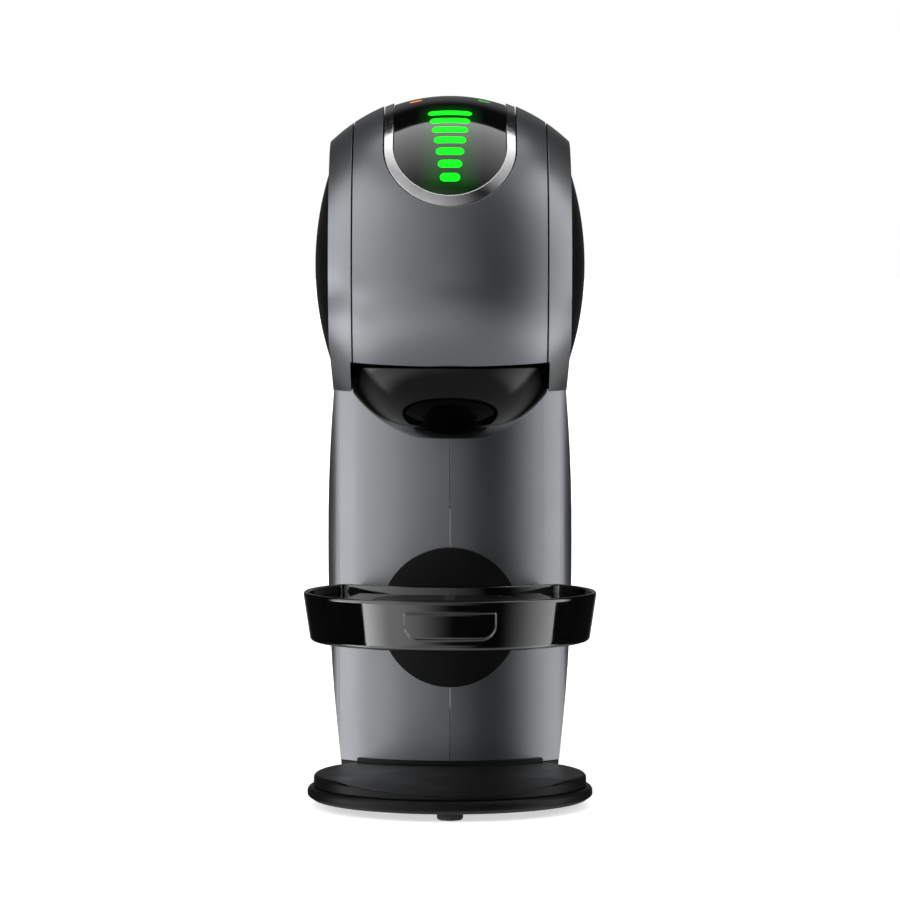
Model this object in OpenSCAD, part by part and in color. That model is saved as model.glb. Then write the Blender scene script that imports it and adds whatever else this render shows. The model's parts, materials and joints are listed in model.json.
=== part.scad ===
// Pod coffee machine: ball-shaped head over a bowed column, round foot, height-adjustable
// drip tray, slide-out pod holder, bail-type locking handle and a rear water tank.
// Millimetres. +Z up, front towards -Y, origin on the table under the middle of the footprint.

/* [Overall] */
// Height from the table to the crest of the touch panel
overall_h = 271; // [264:1:282]
// Depth from the grip pad of the tray to the hinge of the tank lid
overall_d = 290; // [282:1:300]
// General wall of the mouldings
wall = 2.4; // [2:0.1:2.8]

/* [Head] */
// Radius of the ball-shaped head
head_r = 65.5; // [64:0.5:67]
// Half width of the head between its flat sides
side_x = 45.5; // [45:0.25:46.5]
// Fall of the roof line behind the head, degrees
roof_slope = 17; // [15:0.5:18]
// Half width of the centre strip, which holds the front panel and the top cover
strip_hw = 36.3; // [35.5:0.1:36.6]
// Radius of the domed side discs
disc_r = 37; // [34:0.5:38]
// Height of the domed side discs
disc_h = 6; // [4:0.5:7]

/* [Column] */
// Half width of the column at its fullest
col_half_w = 48; // [47:0.25:49]
// Radius of the column's bowed front, seen from above
col_front_r = 59; // [57:0.5:61]
// Radius of the column's front corners
col_corner_r = 18; // [16:0.5:19]
// Distance from the pod axis back to the column's front
col_setback = 26; // [25:0.5:28]

/* [Base] */
// Radius of the round foot in front
foot_r = 54.5; // [52:0.5:55.5]
// Height of the rubber feet under the foot
feet_h = 2.8; // [2:0.1:4]
// Thickness of the bottom plate
plate_h = 5; // [4.5:0.1:6]
// Thickness of the base cover over it
cover_h = 4.7; // [4.5:0.1:6]

/* [Drip tray] */
// Outer radius of the tray at its rim
tray_r = 56; // [54:0.5:57]
// Height of the tray's wall
tray_h = 18.8; // [16:0.2:22]
// Height of the tray's rim above the table
tray_rim_z = 82.2; // [78:0.2:86]
// Radius of the round bracket that carries the tray
bracket_r = 27; // [24:0.5:28]

/* [Pod holder] */
// Radius of the ball-shaped bowl of the holder
bowl_r = 45.7; // [44.5:0.1:46.5]
// Half width of the holder
holder_hw = 36.9; // [36.5:0.1:37.8]
// Radius of the seat for the rim of a pod
pod_rim_r = 27.2; // [26.8:0.1:27.6]
// Radius of the pod's cup below its rim
pod_cup_r = 24.5; // [24:0.1:25]

/* [Handle] */
// Half width of the locking handle, outside
handle_hw = 24.6; // [24:0.1:25]
// Width of the handle's band
handle_band = 3.3; // [3:0.1:3.6]

/* [Water tank] */
// Depth of the tank
tank_d = 61; // [56:0.5:64]
// Wall of the tank
tank_wall = 2.2; // [1.8:0.1:2.6]
// Height of the shelf that the tank stands on
shelf_z = 26; // [24:0.5:28]

/* [Works] */
// Radius of the heater block
heater_r = 27; // [24:0.5:28]
// Travel of the injector when the handle is lifted
injector_lift = 8; // [6:0.5:9]
// Outer radius of the silicone hoses
hose_r = 3; // [2.5:0.25:3.5]

/* [Hidden] */
$fn = 96;
EPS = 0.01;
BIG = 400;
seam = 0.3;               // visible gap between the two column shells
joint_gap = 0.5;          // visible gap round the front panel and top cover
run_gap = 0.4;            // general clearance round pieces that slide
pin_gap = 0.05;           // radial running clearance of pins and shafts
seat_gap = 0.15;          // gap between pieces that seat on each other

// places along the depth
front_y = -overall_d / 2;
rear_y = overall_d / 2;
pad_t = 1;
pod_y = front_y + pad_t + tray_r;
head_y = pod_y + 10;
col_front_y = pod_y + col_setback;
col_o_y = col_front_y + col_front_r;     // axis of the column's front arc
hinge_r = 2.8;
tank_rear_y = rear_y - hinge_r + 0.6;
tank_front_y = tank_rear_y - tank_d;
body_rear_y = tank_front_y - 1.5;
shell_rear_y = body_rear_y - 20;

// heights
plate_z = feet_h;
cover_z = plate_z + plate_h;
deck_z = cover_z + cover_h;
body_z = deck_z + 0.1;
collar_h = 1.6;
panel_drop = 1;           // touch panel below the ball
panel_t = 2.7;
head_z = overall_h + panel_drop - head_r;
waist_z = head_z - 48.5;
bow_z = 98;
side_bow_r = 700;

// mouth of the head, closed below by the pod holder
mouth_hw = holder_hw + run_gap;
mouth_slope = 5.5;
mouth_front_z = head_z - 37.7;
mouth_front_y = head_y - sqrt(pow(head_r, 2) - pow(head_z - mouth_front_z, 2));
bowl_z = head_z - 22;
holder_top_z = mouth_front_z - 0.6;
pocket_r = bowl_r + 0.6;
rail_z = holder_top_z - 6.9;
cheek_z = rail_z - wall - 0.1;           // underside of the head beside the holder
magnet_x = 18;
magnet_z = holder_top_z - 6;

// locking handle and its shaft
pivot_y = head_y + 28;
pivot_z = head_z + 43.5;
shaft_r = 2.5;
shaft_hw = 31;
band_r = head_r - 0.3;
band_t = 3.4;
lift_tilt = 16.9;
slot_y = 27.8;
display_rear_y = head_y + 16;
display_hw = handle_hw - handle_band - 0.3;
display_r = head_r - panel_drop;
panel_fwd = 0.7;          // the panel's round end is ahead of the handle's

// injector
carrier_z = head_z + 19.5;
carrier_t = 8;
cam_rest_r = pivot_z - carrier_z - carrier_t - 0.2;
ceiling_z = holder_top_z + 1.8;
seal_z = holder_top_z + 1.6;
bridge_z = head_z - 11;
bridge_t = 7;
post_x = 17;
post_y = pod_y + 20;
post_r = 2;

// works in the column
spine_y = shell_rear_y - 8;
spine_t = 2.5;
side_rib_x = 36;
pump_y = spine_y - 27;
pump_z = 62;
pump_h = 42;
pump_w = 44;
pump_tube_r = 11;
meter_r = 15;
meter_h = 16;
meter_z = deck_z + 3.2;
heater_z = bowl_z - 31;
heater_h = 44;
heater_y = spine_y - 46;
supply_z = deck_z + 6.6;
board_y = col_front_y + 18;
board_t = 1.6;

// ---------------------------------------------------------------- shared forms

// One bowed end of a plan outline: crest at y = 0, arc of radius r, rounded corners, straight sides
module end_plan(r, hw, rc, len) {
    cx = hw - rc;
    cy = r - sqrt(pow(r - rc, 2) - pow(cx, 2));
    xt = cx * r / (r - rc);
    intersection() {
        translate([0, r]) circle(r);
        translate([-xt, -1]) square([2 * xt, cy + 1]);
    }
    for (s = [-1, 1]) translate([s * cx, cy]) circle(rc);
    translate([-hw, cy]) square([2 * hw, len - cy]);
}

// Plan of the column from its bowed front back to y_end, inset by i
module front_plan(i, y_end) {
    translate([0, col_front_y + i])
        end_plan(col_front_r - i, col_half_w - i, col_corner_r - i, y_end - col_front_y - i);
}

// Plan of the tank's bowed back from y_start, inset by i
tank_back_r = 66;
tank_corner_r = 18;
module rear_plan(i, y_start) {
    translate([0, tank_rear_y - i]) mirror([0, 1, 0])
        end_plan(tank_back_r - i, col_half_w - i, tank_corner_r - i, tank_rear_y - i - y_start);
}

module block(x0, x1, y0, y1, z0, z1) translate([x0, y0, z0]) cube([x1 - x0, y1 - y0, z1 - z0]);

// Cylinder along X, Y, centred on the given point
module rod_x(r, x0, x1, y, z) translate([x0, y, z]) rotate([0, 90, 0]) cylinder(r = r, h = x1 - x0);
module rod_y(r, x, y0, y1, z) translate([x, y0, z]) rotate([-90, 0, 0]) cylinder(r = r, h = y1 - y0);
module rod_z(r, x, y, z0, z1) translate([x, y, z0]) cylinder(r = r, h = z1 - z0);

// Width limit: bowed below the waist, flat above it
module side_limit(i) {
    intersection() {
        for (one = [0]) translate([-(side_bow_r - col_half_w), 0, bow_z]) rotate([90, 0, 0])
            cylinder(r = side_bow_r - i, h = BIG + 200, center = true);
        translate([side_bow_r - col_half_w, 0, bow_z]) rotate([90, 0, 0])
            cylinder(r = side_bow_r - i, h = BIG + 200, center = true);
        block(-60, 60, -BIG / 2, BIG / 2, -5, waist_z);
    }
    block(-(side_x - i), side_x - i, -BIG / 2, BIG / 2, waist_z - EPS, overall_h + 10);
}

// Ball of the head and the round roof that falls away behind it
module ball(i) translate([0, head_y, head_z]) rotate([0, 90, 0]) sphere(head_r - i, $fn = 120);
module roof(i) translate([0, head_y, head_z]) rotate([-(90 + roof_slope), 0, 0])
    cylinder(r = head_r - i, h = BIG);
module ball_and_roof(i) translate([0, head_y, head_z]) rotate([-(90 + roof_slope), 0, 0]) rotate_extrude() {
    intersection() {
        circle(head_r - i);
        translate([0, -BIG / 2]) square([BIG / 2, BIG / 2]);
    }
    square([head_r - i, BIG]);
}

// Everything above the roof surface, to trim the tank and its lid
module above_roof(i) {
    difference() {
        translate([0, head_y, head_z]) rotate([-roof_slope, 0, 0]) block(-80, 80, 0, BIG, 0, 300);
        roof(i);
    }
}

// Space under the head in front of the column, where the pod holder is; a millimetre
// smaller in the inside forms, so that they cut clean through
module mouth(i) {
    less = i > 0 ? 1 : 0;
    difference() {
        translate([0, mouth_front_y, mouth_front_z]) rotate([mouth_slope, 0, 0])
            block(-mouth_hw + less, mouth_hw - less, -40, 110, -90, -less);
        translate([0, 0, 60]) linear_extrude(BIG) front_plan(i, body_rear_y);
    }
}

// Whole body, inset by i, from z0 up and back to y_end
module body_form(i, z0, y_end) {
    intersection() {
        translate([0, 0, z0]) linear_extrude(waist_z - z0) front_plan(i, y_end);
        side_limit(i);
    }
    difference() {
        intersection() {
            ball_and_roof(i);
            block(-(side_x - i), side_x - i, -BIG / 2, y_end, waist_z - 6, overall_h + 10);
        }
        mouth(i);
        // underside of the cheeks ahead of the column
        difference() {
            block(-BIG, BIG, -BIG, 0, 0, cheek_z + i);
            translate([0, 0, 50]) linear_extrude(BIG) front_plan(i, body_rear_y);
        }
        for (s = [0, 1]) mirror([s, 0, 0]) waist_cut(i);
    }
}

// Chamfer that draws the cheeks in towards the column, from a line that falls to the waist
waist_line = atan((cheek_z + 22 - waist_z) / 82);
module waist_cut(i) translate([side_x - i, head_y + 32, waist_z + 0.5]) rotate([-waist_line, 0, 0])
    rotate([0, 5.5, 0]) translate([0, -150, -60]) cube([30, 300, 70]);

module pocket(extra) translate([0, pod_y, bowl_z]) sphere(pocket_r + extra);
module pocket_opening() intersection() {
    pocket(0);
    block(-mouth_hw - 1.2, mouth_hw + 1.2, -BIG / 2, 0, 60, overall_h);
}

// Outer skin of the machine in front of the rear cover
module skin() {
    difference() {
        body_form(0, body_z, shell_rear_y);
        body_form(wall, deck_z - 1, shell_rear_y + 1);
        pocket_opening();
    }
}

// Centre strip over the mouth and along the roof
module centre_strip(hw) {
    translate([0, mouth_front_y, mouth_front_z]) rotate([mouth_slope, 0, 0])
        block(-hw, hw, -60, 260, 0, 160);
}

// Everything ahead of the joint between the ball and the roof, less g
module ahead(g) roof_frame() block(-80, 80, -BIG, -g, -BIG, BIG);

// Cutter for the handle, the display and their opening: a slot with a round front end, cut
// along the direction in which the handle starts to lift, so that its edges slide past each other
module slot(hw, back, more = 0, fwd = 0) intersection() {
    translate([0, head_y, head_z]) rotate([lift_tilt, 0, 0]) linear_extrude(head_r + 20) {
        translate([0, -slot_y - fwd]) circle(hw + more);
        translate([-hw - more, -slot_y - fwd]) square([2 * (hw + more), slot_y + fwd + 90]);
    }
    ahead(back);
}

// ---------------------------------------------------------------- base

foot_profile = [[0, 0], [foot_r - 2.2, 0], [foot_r, 1.6], [foot_r, plate_h - 1.2],
    [foot_r - 1, plate_h], [0, plate_h]];
base_in = 5;                        // the base stands in under the tank and the column
module base_outline(i) {
    translate([0, pod_y]) circle(foot_r - i);
    difference() {
        front_plan(i + base_in, body_rear_y);
        translate([-BIG / 2, body_rear_y - 30]) square([BIG, BIG]);
    }
    rear_plan(i + base_in, 0);
}
foot_places = [[0, pod_y - 44.5], [-36, pod_y + 24], [36, pod_y + 24], [-33, tank_rear_y - 26], [33, tank_rear_y - 26]];
screw_places = [[-24, pod_y - 24], [24, pod_y - 24], [-30, 24], [30, 24], [-30, body_rear_y - 14], [30, body_rear_y - 14]];

module base_plate() color([0.03, 0.03, 0.03]) difference() {
    union() {
        translate([0, pod_y, plate_z]) rotate_extrude() polygon(foot_profile);
        translate([0, 0, plate_z]) linear_extrude(plate_h) base_outline(foot_r * 0.04);
    }
    difference() {
        translate([0, 0, plate_z + wall]) linear_extrude(plate_h) base_outline(foot_r * 0.04 + wall);
        for (p = concat(foot_places, screw_places)) rod_z(6, p[0], p[1], plate_z, cover_z);
    }
    for (p = foot_places) rod_z(3, p[0], p[1], plate_z - 1, plate_z + 3.4);
    for (p = screw_places) {
        rod_z(1.7, p[0], p[1], plate_z - 1, cover_z + 1);
        rod_z(3.2, p[0], p[1], plate_z - 1, plate_z + 2.2);
    }
}

module rubber_feet() color([0.05, 0.05, 0.05]) for (p = foot_places) translate([p[0], p[1], 0])
    rotate_extrude() polygon([[0, 0], [4.3, 0], [4.9, 0.6], [4.9, plate_z - 0.05], [2.9, plate_z - 0.05],
        [2.9, plate_z + 3], [0, plate_z + 3]]);

module case_screws() color([0.7, 0.7, 0.72]) {
    base_screws();
    shell_screws();
}
module base_screws() for (p = screw_places) translate([p[0], p[1], 0]) {
    rod_z(1.5, 0, 0, plate_z + 2, cover_z + 1.6);
    difference() {
        rod_z(2.9, 0, 0, plate_z + 0.4, plate_z + 2.15);
        for (a = [0, 90]) rotate(a) block(-2, 2, -0.4, 0.4, plate_z, plate_z + 1.3);
    }
}

// Shallow ramp on the foot that falls to its front edge
ramp_fall = 0.077;
module ramp_cone(down) translate([0, pod_y - 84, deck_z - 72 * ramp_fall - down])
    cylinder(r1 = 0, r2 = 40 / ramp_fall, h = 40);

cover_r = foot_r - 2.4;
module cover_solid(i, drop) {
    difference() {
        union() {
            translate([0, pod_y, cover_z]) rotate_extrude() polygon([[0, 0], [cover_r - i, 0],
                [cover_r - i, cover_h - drop - 1], [cover_r - i - 1, cover_h - drop], [0, cover_h - drop]]);
            intersection() {
                translate([0, 0, cover_z]) linear_extrude(cover_h - drop) front_plan(i, body_rear_y + 5);
                side_limit(i);
            }
        }
        ramp_cone(drop);
    }
    intersection() {
        translate([0, 0, cover_z]) linear_extrude(shelf_z - cover_z - drop)
            rear_plan(i + 0.8, body_rear_y + 0.6 + i);
        side_limit(i + 0.8);
    }
}
bush_z = cover_z + 8.4;
bush_r = 6;
cord_r = 3.6;
module base_cover() color([0.04, 0.04, 0.04]) {
    difference() {
        cover_solid(0, 0);
        difference() {
            translate([0, 0, -EPS]) cover_solid(wall, wall * 0.75);
            for (p = screw_places) rod_z(4.5, p[0], p[1], cover_z, deck_z);
        }
        for (p = screw_places) rod_z(1.5, p[0], p[1], cover_z - 1, cover_z + 1.7);
        rod_y(bush_r + 0.1, 0, tank_rear_y - 12, tank_rear_y + 5, bush_z);
        rod_z(seat_hole_r, 0, seat_y, shelf_z - 10, shelf_z + 5);
        rod_y(hose_r + 2, 0, body_rear_y - 10, tank_front_y + 8, supply_z);
        for (s = [-1, 1]) rod_z(1.6, s * 30, 24, deck_z - 4, deck_z + 1);
    }
    intersection() {
        difference() {
            translate([0, 0, deck_z - 1.2]) linear_extrude(collar_h + 1.2) front_plan(-1.7, 0);
            translate([0, 0, deck_z]) linear_extrude(collar_h + 2) front_plan(-seat_gap, 0);
        }
        block(-strip_hw, strip_hw, -BIG / 2, -20, deck_z - 2, deck_z + 5);
    }
}

module cord_bush() color([0.06, 0.06, 0.06]) difference() {
    union() {
        rod_y(bush_r, 0, tank_rear_y - 8, rear_y - 1.2, bush_z);
        rod_y(bush_r + 1.6, 0, tank_rear_y - 7.4, tank_rear_y - 4.6, bush_z);
    }
    rod_y(cord_r, 0, tank_rear_y - 12, rear_y + 2, bush_z);
}

// ---------------------------------------------------------------- chassis

module chassis() color([0.12, 0.12, 0.13]) difference() {
    union() {
        // floor plate on the deck
        intersection() {
            translate([0, 0, deck_z]) linear_extrude(wall) front_plan(wall + 0.8, spine_y + spine_t);
            side_limit(wall + 0.8);
        }
        // spine and its side ribs
        block(-side_rib_x, side_rib_x, spine_y, spine_y + spine_t, deck_z, heater_z + heater_h + 6);
        for (s = [-1, 1]) {
            intersection() {
                block(s > 0 ? side_rib_x - spine_t : -side_rib_x, s > 0 ? side_rib_x : -side_rib_x + spine_t,
                    heater_y - heater_r - 6, spine_y + 1, heater_z - 12, bridge_z);
                body_form(wall + 1, 20, shell_rear_y);
            }
            block(s > 0 ? side_rib_x - spine_t : -side_rib_x, s > 0 ? side_rib_x : -side_rib_x + spine_t,
                pump_y - 4, spine_y + 1, deck_z, heater_z - 6);
        }
        // heater shelf
        block(-side_rib_x, side_rib_x, heater_y - heater_r - 6, spine_y + 1, heater_z - 6, heater_z - 3);
        // two cradles for the pump's rubber mounts
        for (z = [pump_z - 16, pump_z + pump_h + 8])
            block(-side_rib_x + 1, side_rib_x - 1, pump_y - 20, spine_y + 1, z, z + 8);
        // slots for the lower edge of the control board
        for (s = [-1, 1]) block(s * 24 - 3, s * 24 + 3, board_y - 3, board_y + 4.6, deck_z + 1, deck_z + 8);
    }
    for (z = [pump_z - 16, pump_z + pump_h + 8]) rod_z(17.1, 0, pump_y, z - 1, z + 9);
    for (s = [-1, 1]) block(s * 24 - 4, s * 24 + 4, board_y - 0.1, board_y + board_t + 0.1, deck_z + wall, deck_z + 12);
    rod_y(hose_r + 1.6, 0, spine_y - 2, spine_y + 6, supply_z);
    rod_z(hose_r + 1, 22, heater_y + heater_r + 4, heater_z - 10, heater_z);
    for (s = [-1, 1]) {
        rod_z(1.7, s * 30, 24, deck_z - 1, deck_z + 6);
        for (p = boss_places) rod_x(1.7, s * side_rib_x - 5, s * side_rib_x + 5, p[0], p[1]);
    }
    for (z = [90, 140]) for (s = [-1, 1]) rod_y(6, s * 22, spine_y - 2, spine_y + 6, z);
}

// screws that hold the shells to the chassis: [y, z]
boss_places = [[spine_y - 10, 40], [spine_y - 10, 128], [spine_y - 14, heater_z + 30]];
boss_r = 4;
module shell_bosses() for (s = [-1, 1]) for (p = boss_places)
    difference() {
        rod_x(boss_r, s > 0 ? side_rib_x + seat_gap : -col_half_w, s > 0 ? col_half_w : -side_rib_x - seat_gap, p[0], p[1]);
        rod_x(1.25, -col_half_w + wall, col_half_w - wall - 1.2, p[0], p[1]);
    }

module shell_screws() for (s = [-1, 1]) for (p = boss_places) mirror([s < 0 ? 1 : 0, 0, 0])
    difference() {
        union() {
            rod_x(1.2, side_rib_x - spine_t - 0.5, side_rib_x + 6, p[0], p[1]);
            rod_x(2.8, side_rib_x - spine_t - 2.3, side_rib_x - spine_t - 0.1, p[0], p[1]);
        }
        for (a = [0, 90]) translate([0, p[0], p[1]]) rotate([a, 0, 0])
            block(side_rib_x - spine_t - 3, side_rib_x - spine_t - 1.2, -2, 2, -0.4, 0.4);
    }

// ---------------------------------------------------------------- outer shells

disc_pegs = [90, 210, 330];
module half_shell() {
    difference() {
        intersection() {
            union() {
                skin();
                intersection() {
                    shell_bosses();
                    body_form(1, deck_z, shell_rear_y);
                }
                // rib on each shell that keeps the steel strip against the front wall
                intersection() {
                    block(-16, 16, col_front_y, col_front_y + 12, 30, 34);
                    body_form(1, deck_z, shell_rear_y);
                    difference() {
                        block(-60, 60, col_front_y, 0, 0, 200);
                        rod_z(col_front_r - wall - 3, 0, col_o_y, 0, 200);
                    }
                }
            }
            block(-80, -seam / 2, -BIG / 2, BIG / 2, 0, overall_h + 10);
        }
        centre_strip(strip_hw + joint_gap);
        for (a = disc_pegs) rod_x(2.1, -60, 60, head_y + 24 * cos(a), head_z + 24 * sin(a));
    }
}
module shell_left() color([0.30, 0.31, 0.33]) half_shell();
module shell_right() color([0.30, 0.31, 0.33]) mirror([1, 0, 0]) half_shell();

module front_panel() color([0.30, 0.31, 0.33]) difference() {
    intersection() {
        difference() {
            ball(0);
            ball(wall);
        }
        centre_strip(strip_hw);
        block(-60, 60, -BIG, head_y, 0, BIG);
    }
    pocket_opening();
    slot(handle_hw, -5, joint_gap);
}

button_y = display_rear_y + 34;
button_r = 8;
module roof_frame() translate([0, head_y, head_z]) rotate([-roof_slope, 0, 0]) children();
button_s = (button_y - head_y) / cos(roof_slope);       // distance of the button along the roof
module top_cover() color([0.05, 0.05, 0.06]) difference() {
    intersection() {
        union() {
            skin();
            // guide ring of the power button
            intersection() {
                roof_frame() translate([0, button_s, head_r - 12]) cylinder(r = button_r + 2.2, h = 11);
                ball_and_roof(0.5);
            }
        }
        centre_strip(strip_hw);
        union() {
            roof_frame() block(-80, 80, joint_gap, BIG, -20, BIG);
            // horns beside the rear end of the touch panel
            for (s = [-1, 1]) block(s > 0 ? handle_hw + 0.6 : -80, s > 0 ? 80 : -handle_hw - 0.6,
                head_y + joint_gap, 0, head_z, BIG);
        }
    }
    for (s = [-1, 1]) block(s * (handle_hw - handle_band / 2) - handle_band / 2 - 0.6,
        s * (handle_hw - handle_band / 2) + handle_band / 2 + 0.6, display_rear_y - 2, pivot_y + 12, pivot_z - 10, overall_h);
    roof_frame() translate([0, button_s, head_r - 20]) cylinder(r = button_r + 0.3, h = 30);
}
module power_button() color([0.02, 0.02, 0.02]) intersection() {
    roof_frame() translate([0, button_s, head_r - 9]) union() {
        cylinder(r = button_r, h = 30);
        translate([0, 0, -2.5]) cylinder(r = 3, h = 3);
    }
    ball_and_roof(-0.4);
}

module button_switch() color([0.1, 0.1, 0.1]) roof_frame() translate([0, button_s, head_r - 9]) {
    block(-6, 6, -6, 6, -10.2, -4.4);
    block(-17, 17, -10, 10, -11.8, -10.2 + EPS);
    for (s = [-1, 1]) rod_z(2, s * 13, 0, -10.2, -3.4);
    for (s = [-1, 1]) block(s * 13 - 2, s * 13 + 2, -2, 2, -3.5, -3.1);
}

module rear_cover() color([0.04, 0.04, 0.045]) difference() {
    intersection() {
        body_form(0, body_z, body_rear_y);
        block(-60, 60, shell_rear_y + joint_gap, body_rear_y, 0, overall_h);
    }
    intersection() {
        body_form(wall, deck_z - 1, body_rear_y);
        block(-60, 60, 0, body_rear_y - wall, 0, overall_h);
    }
    rod_y(hose_r + 1.6, 0, body_rear_y - 10, body_rear_y + 5, supply_z);
    // cooling slots
    for (k = [0:5]) block(-18, 18, body_rear_y - 10, body_rear_y + 5, 52 + k * 7, 55 + k * 7);
}

module side_disc() {
    cap_r = (pow(disc_r, 2) + pow(disc_h, 2)) / (2 * disc_h);
    intersection() {
        translate([-(side_x + disc_h - cap_r), head_y, head_z]) sphere(cap_r, $fn = 240);
        block(-side_x - 20, -side_x - 0.02, -BIG / 2, BIG / 2, 0, overall_h);
    }
    for (a = disc_pegs) rod_x(2, -side_x - 1, -side_x + wall + 2, head_y + 24 * cos(a), head_z + 24 * sin(a));
}
module side_disc_left() color([0.05, 0.05, 0.05]) side_disc();
module side_disc_right() color([0.05, 0.05, 0.05]) mirror([1, 0, 0]) side_disc();

// ---------------------------------------------------------------- touch panel

frame_hw = handle_hw + joint_gap + 2.2;
module display_frame() color([0.02, 0.02, 0.02]) difference() {
    intersection() {
        union() {
            // bed under the handle
            difference() {
                ball(4.6);
                ball(7);
            }
            // rim that meets the front panel from inside
            difference() {
                ball(wall + seat_gap);
                ball(7);
                slot(handle_hw, -60, joint_gap + 0.4);
            }
            // raised seat of the touch panel
            intersection() {
                difference() {
                    ball(panel_drop + panel_t + 0.3);
                    ball(7);
                }
                slot(display_hw - 1.5, 0, 0, panel_fwd);
            }
            board_frame() for (p = [[-14, -15], [14, -15], [-14, 15], [14, 15]])
                intersection() {
                    translate([p[0], p[1], board_t + 0.1]) cylinder(r = 2.6, h = 14);
                    translate([0, 0, 0]) board_unframe() ball(6);
                }
        }
        slot(frame_hw, 0.4);
    }
    // slots for the arms of the handle
    for (s = [-1, 1]) block(s * (handle_hw - handle_band / 2) - handle_band / 2 - 0.5,
        s * (handle_hw - handle_band / 2) + handle_band / 2 + 0.5, display_rear_y - 11, display_rear_y + 1, pivot_z - 5, overall_h);
    // windows behind the light bars
    for (k = [0:6]) bar_at(k) translate([-bar_w(k) / 2 + 1, -1.2, -12]) cube([bar_w(k) - 2, 2.4, 13]);
}

// board plane: a chord of the ball behind the touch panel
board_tilt = 34;
board_out = head_r - 15.5;
module board_frame() translate([0, head_y, head_z]) rotate([board_tilt, 0, 0]) translate([0, 0, board_out]) children();
module board_unframe() translate([0, 0, -board_out]) rotate([-board_tilt, 0, 0]) translate([0, -head_y, -head_z]) children();

module touch_board() color([0.05, 0.25, 0.12]) board_frame() {
    block(-18, 18, -19, 19, 0, board_t);
    for (k = [0:6]) block(-2, 2, -17 + k * 5.4, -14.6 + k * 5.4, board_t - EPS, board_t + 1.2);
    block(-8, 8, 6, 14, -2.4, EPS);
    block(-6, 6, -16, -10, -4, EPS);
}

bar_first = 27.6;
bar_pitch = 5.35;
bar_h = 3.7;
function bar_w(k) = 16.6 - 1.5 * k;
module bar_at(k) translate([0, head_y, head_z]) rotate([bar_first + k * bar_pitch, 0, 0])
    translate([0, 0, display_r]) children();
module pill(w, h) {
    square([w - h, h], center = true);
    for (s = [-1, 1]) translate([s * (w - h) / 2, 0]) circle(h / 2);
}
module touch_panel() color([0.01, 0.01, 0.01]) difference() {
    intersection() {
        difference() {
            ball(panel_drop);
            ball(panel_drop + panel_t);
        }
        slot(display_hw, 0, 0, panel_fwd);
    }
    for (k = [0:6]) bar_at(k) translate([0, 0, -6]) linear_extrude(12) pill(bar_w(k), bar_h);
    for (s = [-1, 1]) status_at(s) translate([0, 0, -6]) linear_extrude(12) pill(5, 2.8);
}
module light_bars() color([0.1, 0.95, 0.2]) for (k = [0:6]) intersection() {
    bar_at(k) translate([0, 0, -6]) linear_extrude(12) pill(bar_w(k) - 0.1, bar_h - 0.1);
    difference() {
        ball(panel_drop);
        ball(panel_drop + panel_t - 0.1);
    }
}
module status_at(s) translate([0, head_y, head_z]) rotate([0, s * 11.8, 0]) rotate([11, 0, 0])
    translate([0, 0, display_r]) children();
module status_lights() color([0.95, 0.45, 0.1]) for (s = [-1, 1]) intersection() {
    status_at(s) translate([0, 0, -6]) linear_extrude(12) pill(4.9, 2.7);
    difference() {
        ball(panel_drop);
        ball(panel_drop + panel_t - 0.1);
    }
}

// ---------------------------------------------------------------- locking handle and injector

arm_x0 = handle_hw - handle_band;
module lock_handle() color([0.8, 0.8, 0.82]) {
    intersection() {
        difference() {
            ball(head_r - band_r);
            ball(head_r - band_r + band_t);
            slot(handle_hw - handle_band, -60, 0, panel_fwd);
        }
        slot(handle_hw, 3);
    }
    for (s = [-1, 1]) translate([s * (arm_x0 + handle_band / 2), 0, 0]) difference() {
        union() {
            rod_x(5.2, -handle_band / 2 + 0.06, handle_band / 2 - 0.06, pivot_y, pivot_z);
            intersection() {
                rotate([90, 0, 90]) translate([0, 0, -handle_band / 2 + 0.06]) linear_extrude(handle_band - 0.12)
                    polygon([[pivot_y - 3.5, pivot_z - 3.4], [pivot_y + 3.6, pivot_z + 3.4],
                        [display_rear_y - 1.5, pivot_z + 16], [display_rear_y - 8, pivot_z + 18],
                        [display_rear_y - 8, pivot_z + 9.5]]);
                translate([-s * (arm_x0 + handle_band / 2), 0, 0]) ball(head_r - band_r + 0.06);
            }
        }
        rod_x(shaft_r + 0.01, -10, 10, pivot_y, pivot_z);
    }
}

module handle_shaft() color([0.6, 0.6, 0.62]) rod_x(shaft_r, -shaft_hw, shaft_hw, pivot_y, pivot_z);

// Cam under each arm: its support distance falls evenly by one lift over the handle's swing,
// so that the flat top of the carrier follows it in proportion
handle_swing = 65;
cam_fall = injector_lift / (handle_swing * PI / 180);
function cam_point(a, h, dh) = [pivot_y + h * sin(a) + dh * cos(a), pivot_z - h * cos(a) + dh * sin(a)];
module cam_plate() rotate([90, 0, 90]) linear_extrude(5) polygon(concat(
    [for (a = [0:5:handle_swing]) cam_point(a, cam_rest_r - injector_lift * a / handle_swing, -cam_fall)],
    [for (a = [handle_swing:5:handle_swing + 15]) cam_point(a, cam_rest_r - injector_lift, 0)],
    [for (a = [100:20:320]) cam_point(a, 6.5, 0)]));
module lock_cams() color([0.75, 0.75, 0.72]) for (x = [-17, 12]) difference() {
    translate([x, 0, 0]) cam_plate();
    rod_x(shaft_r + 0.01, x - 1, x + 6, pivot_y, pivot_z);
}

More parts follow.
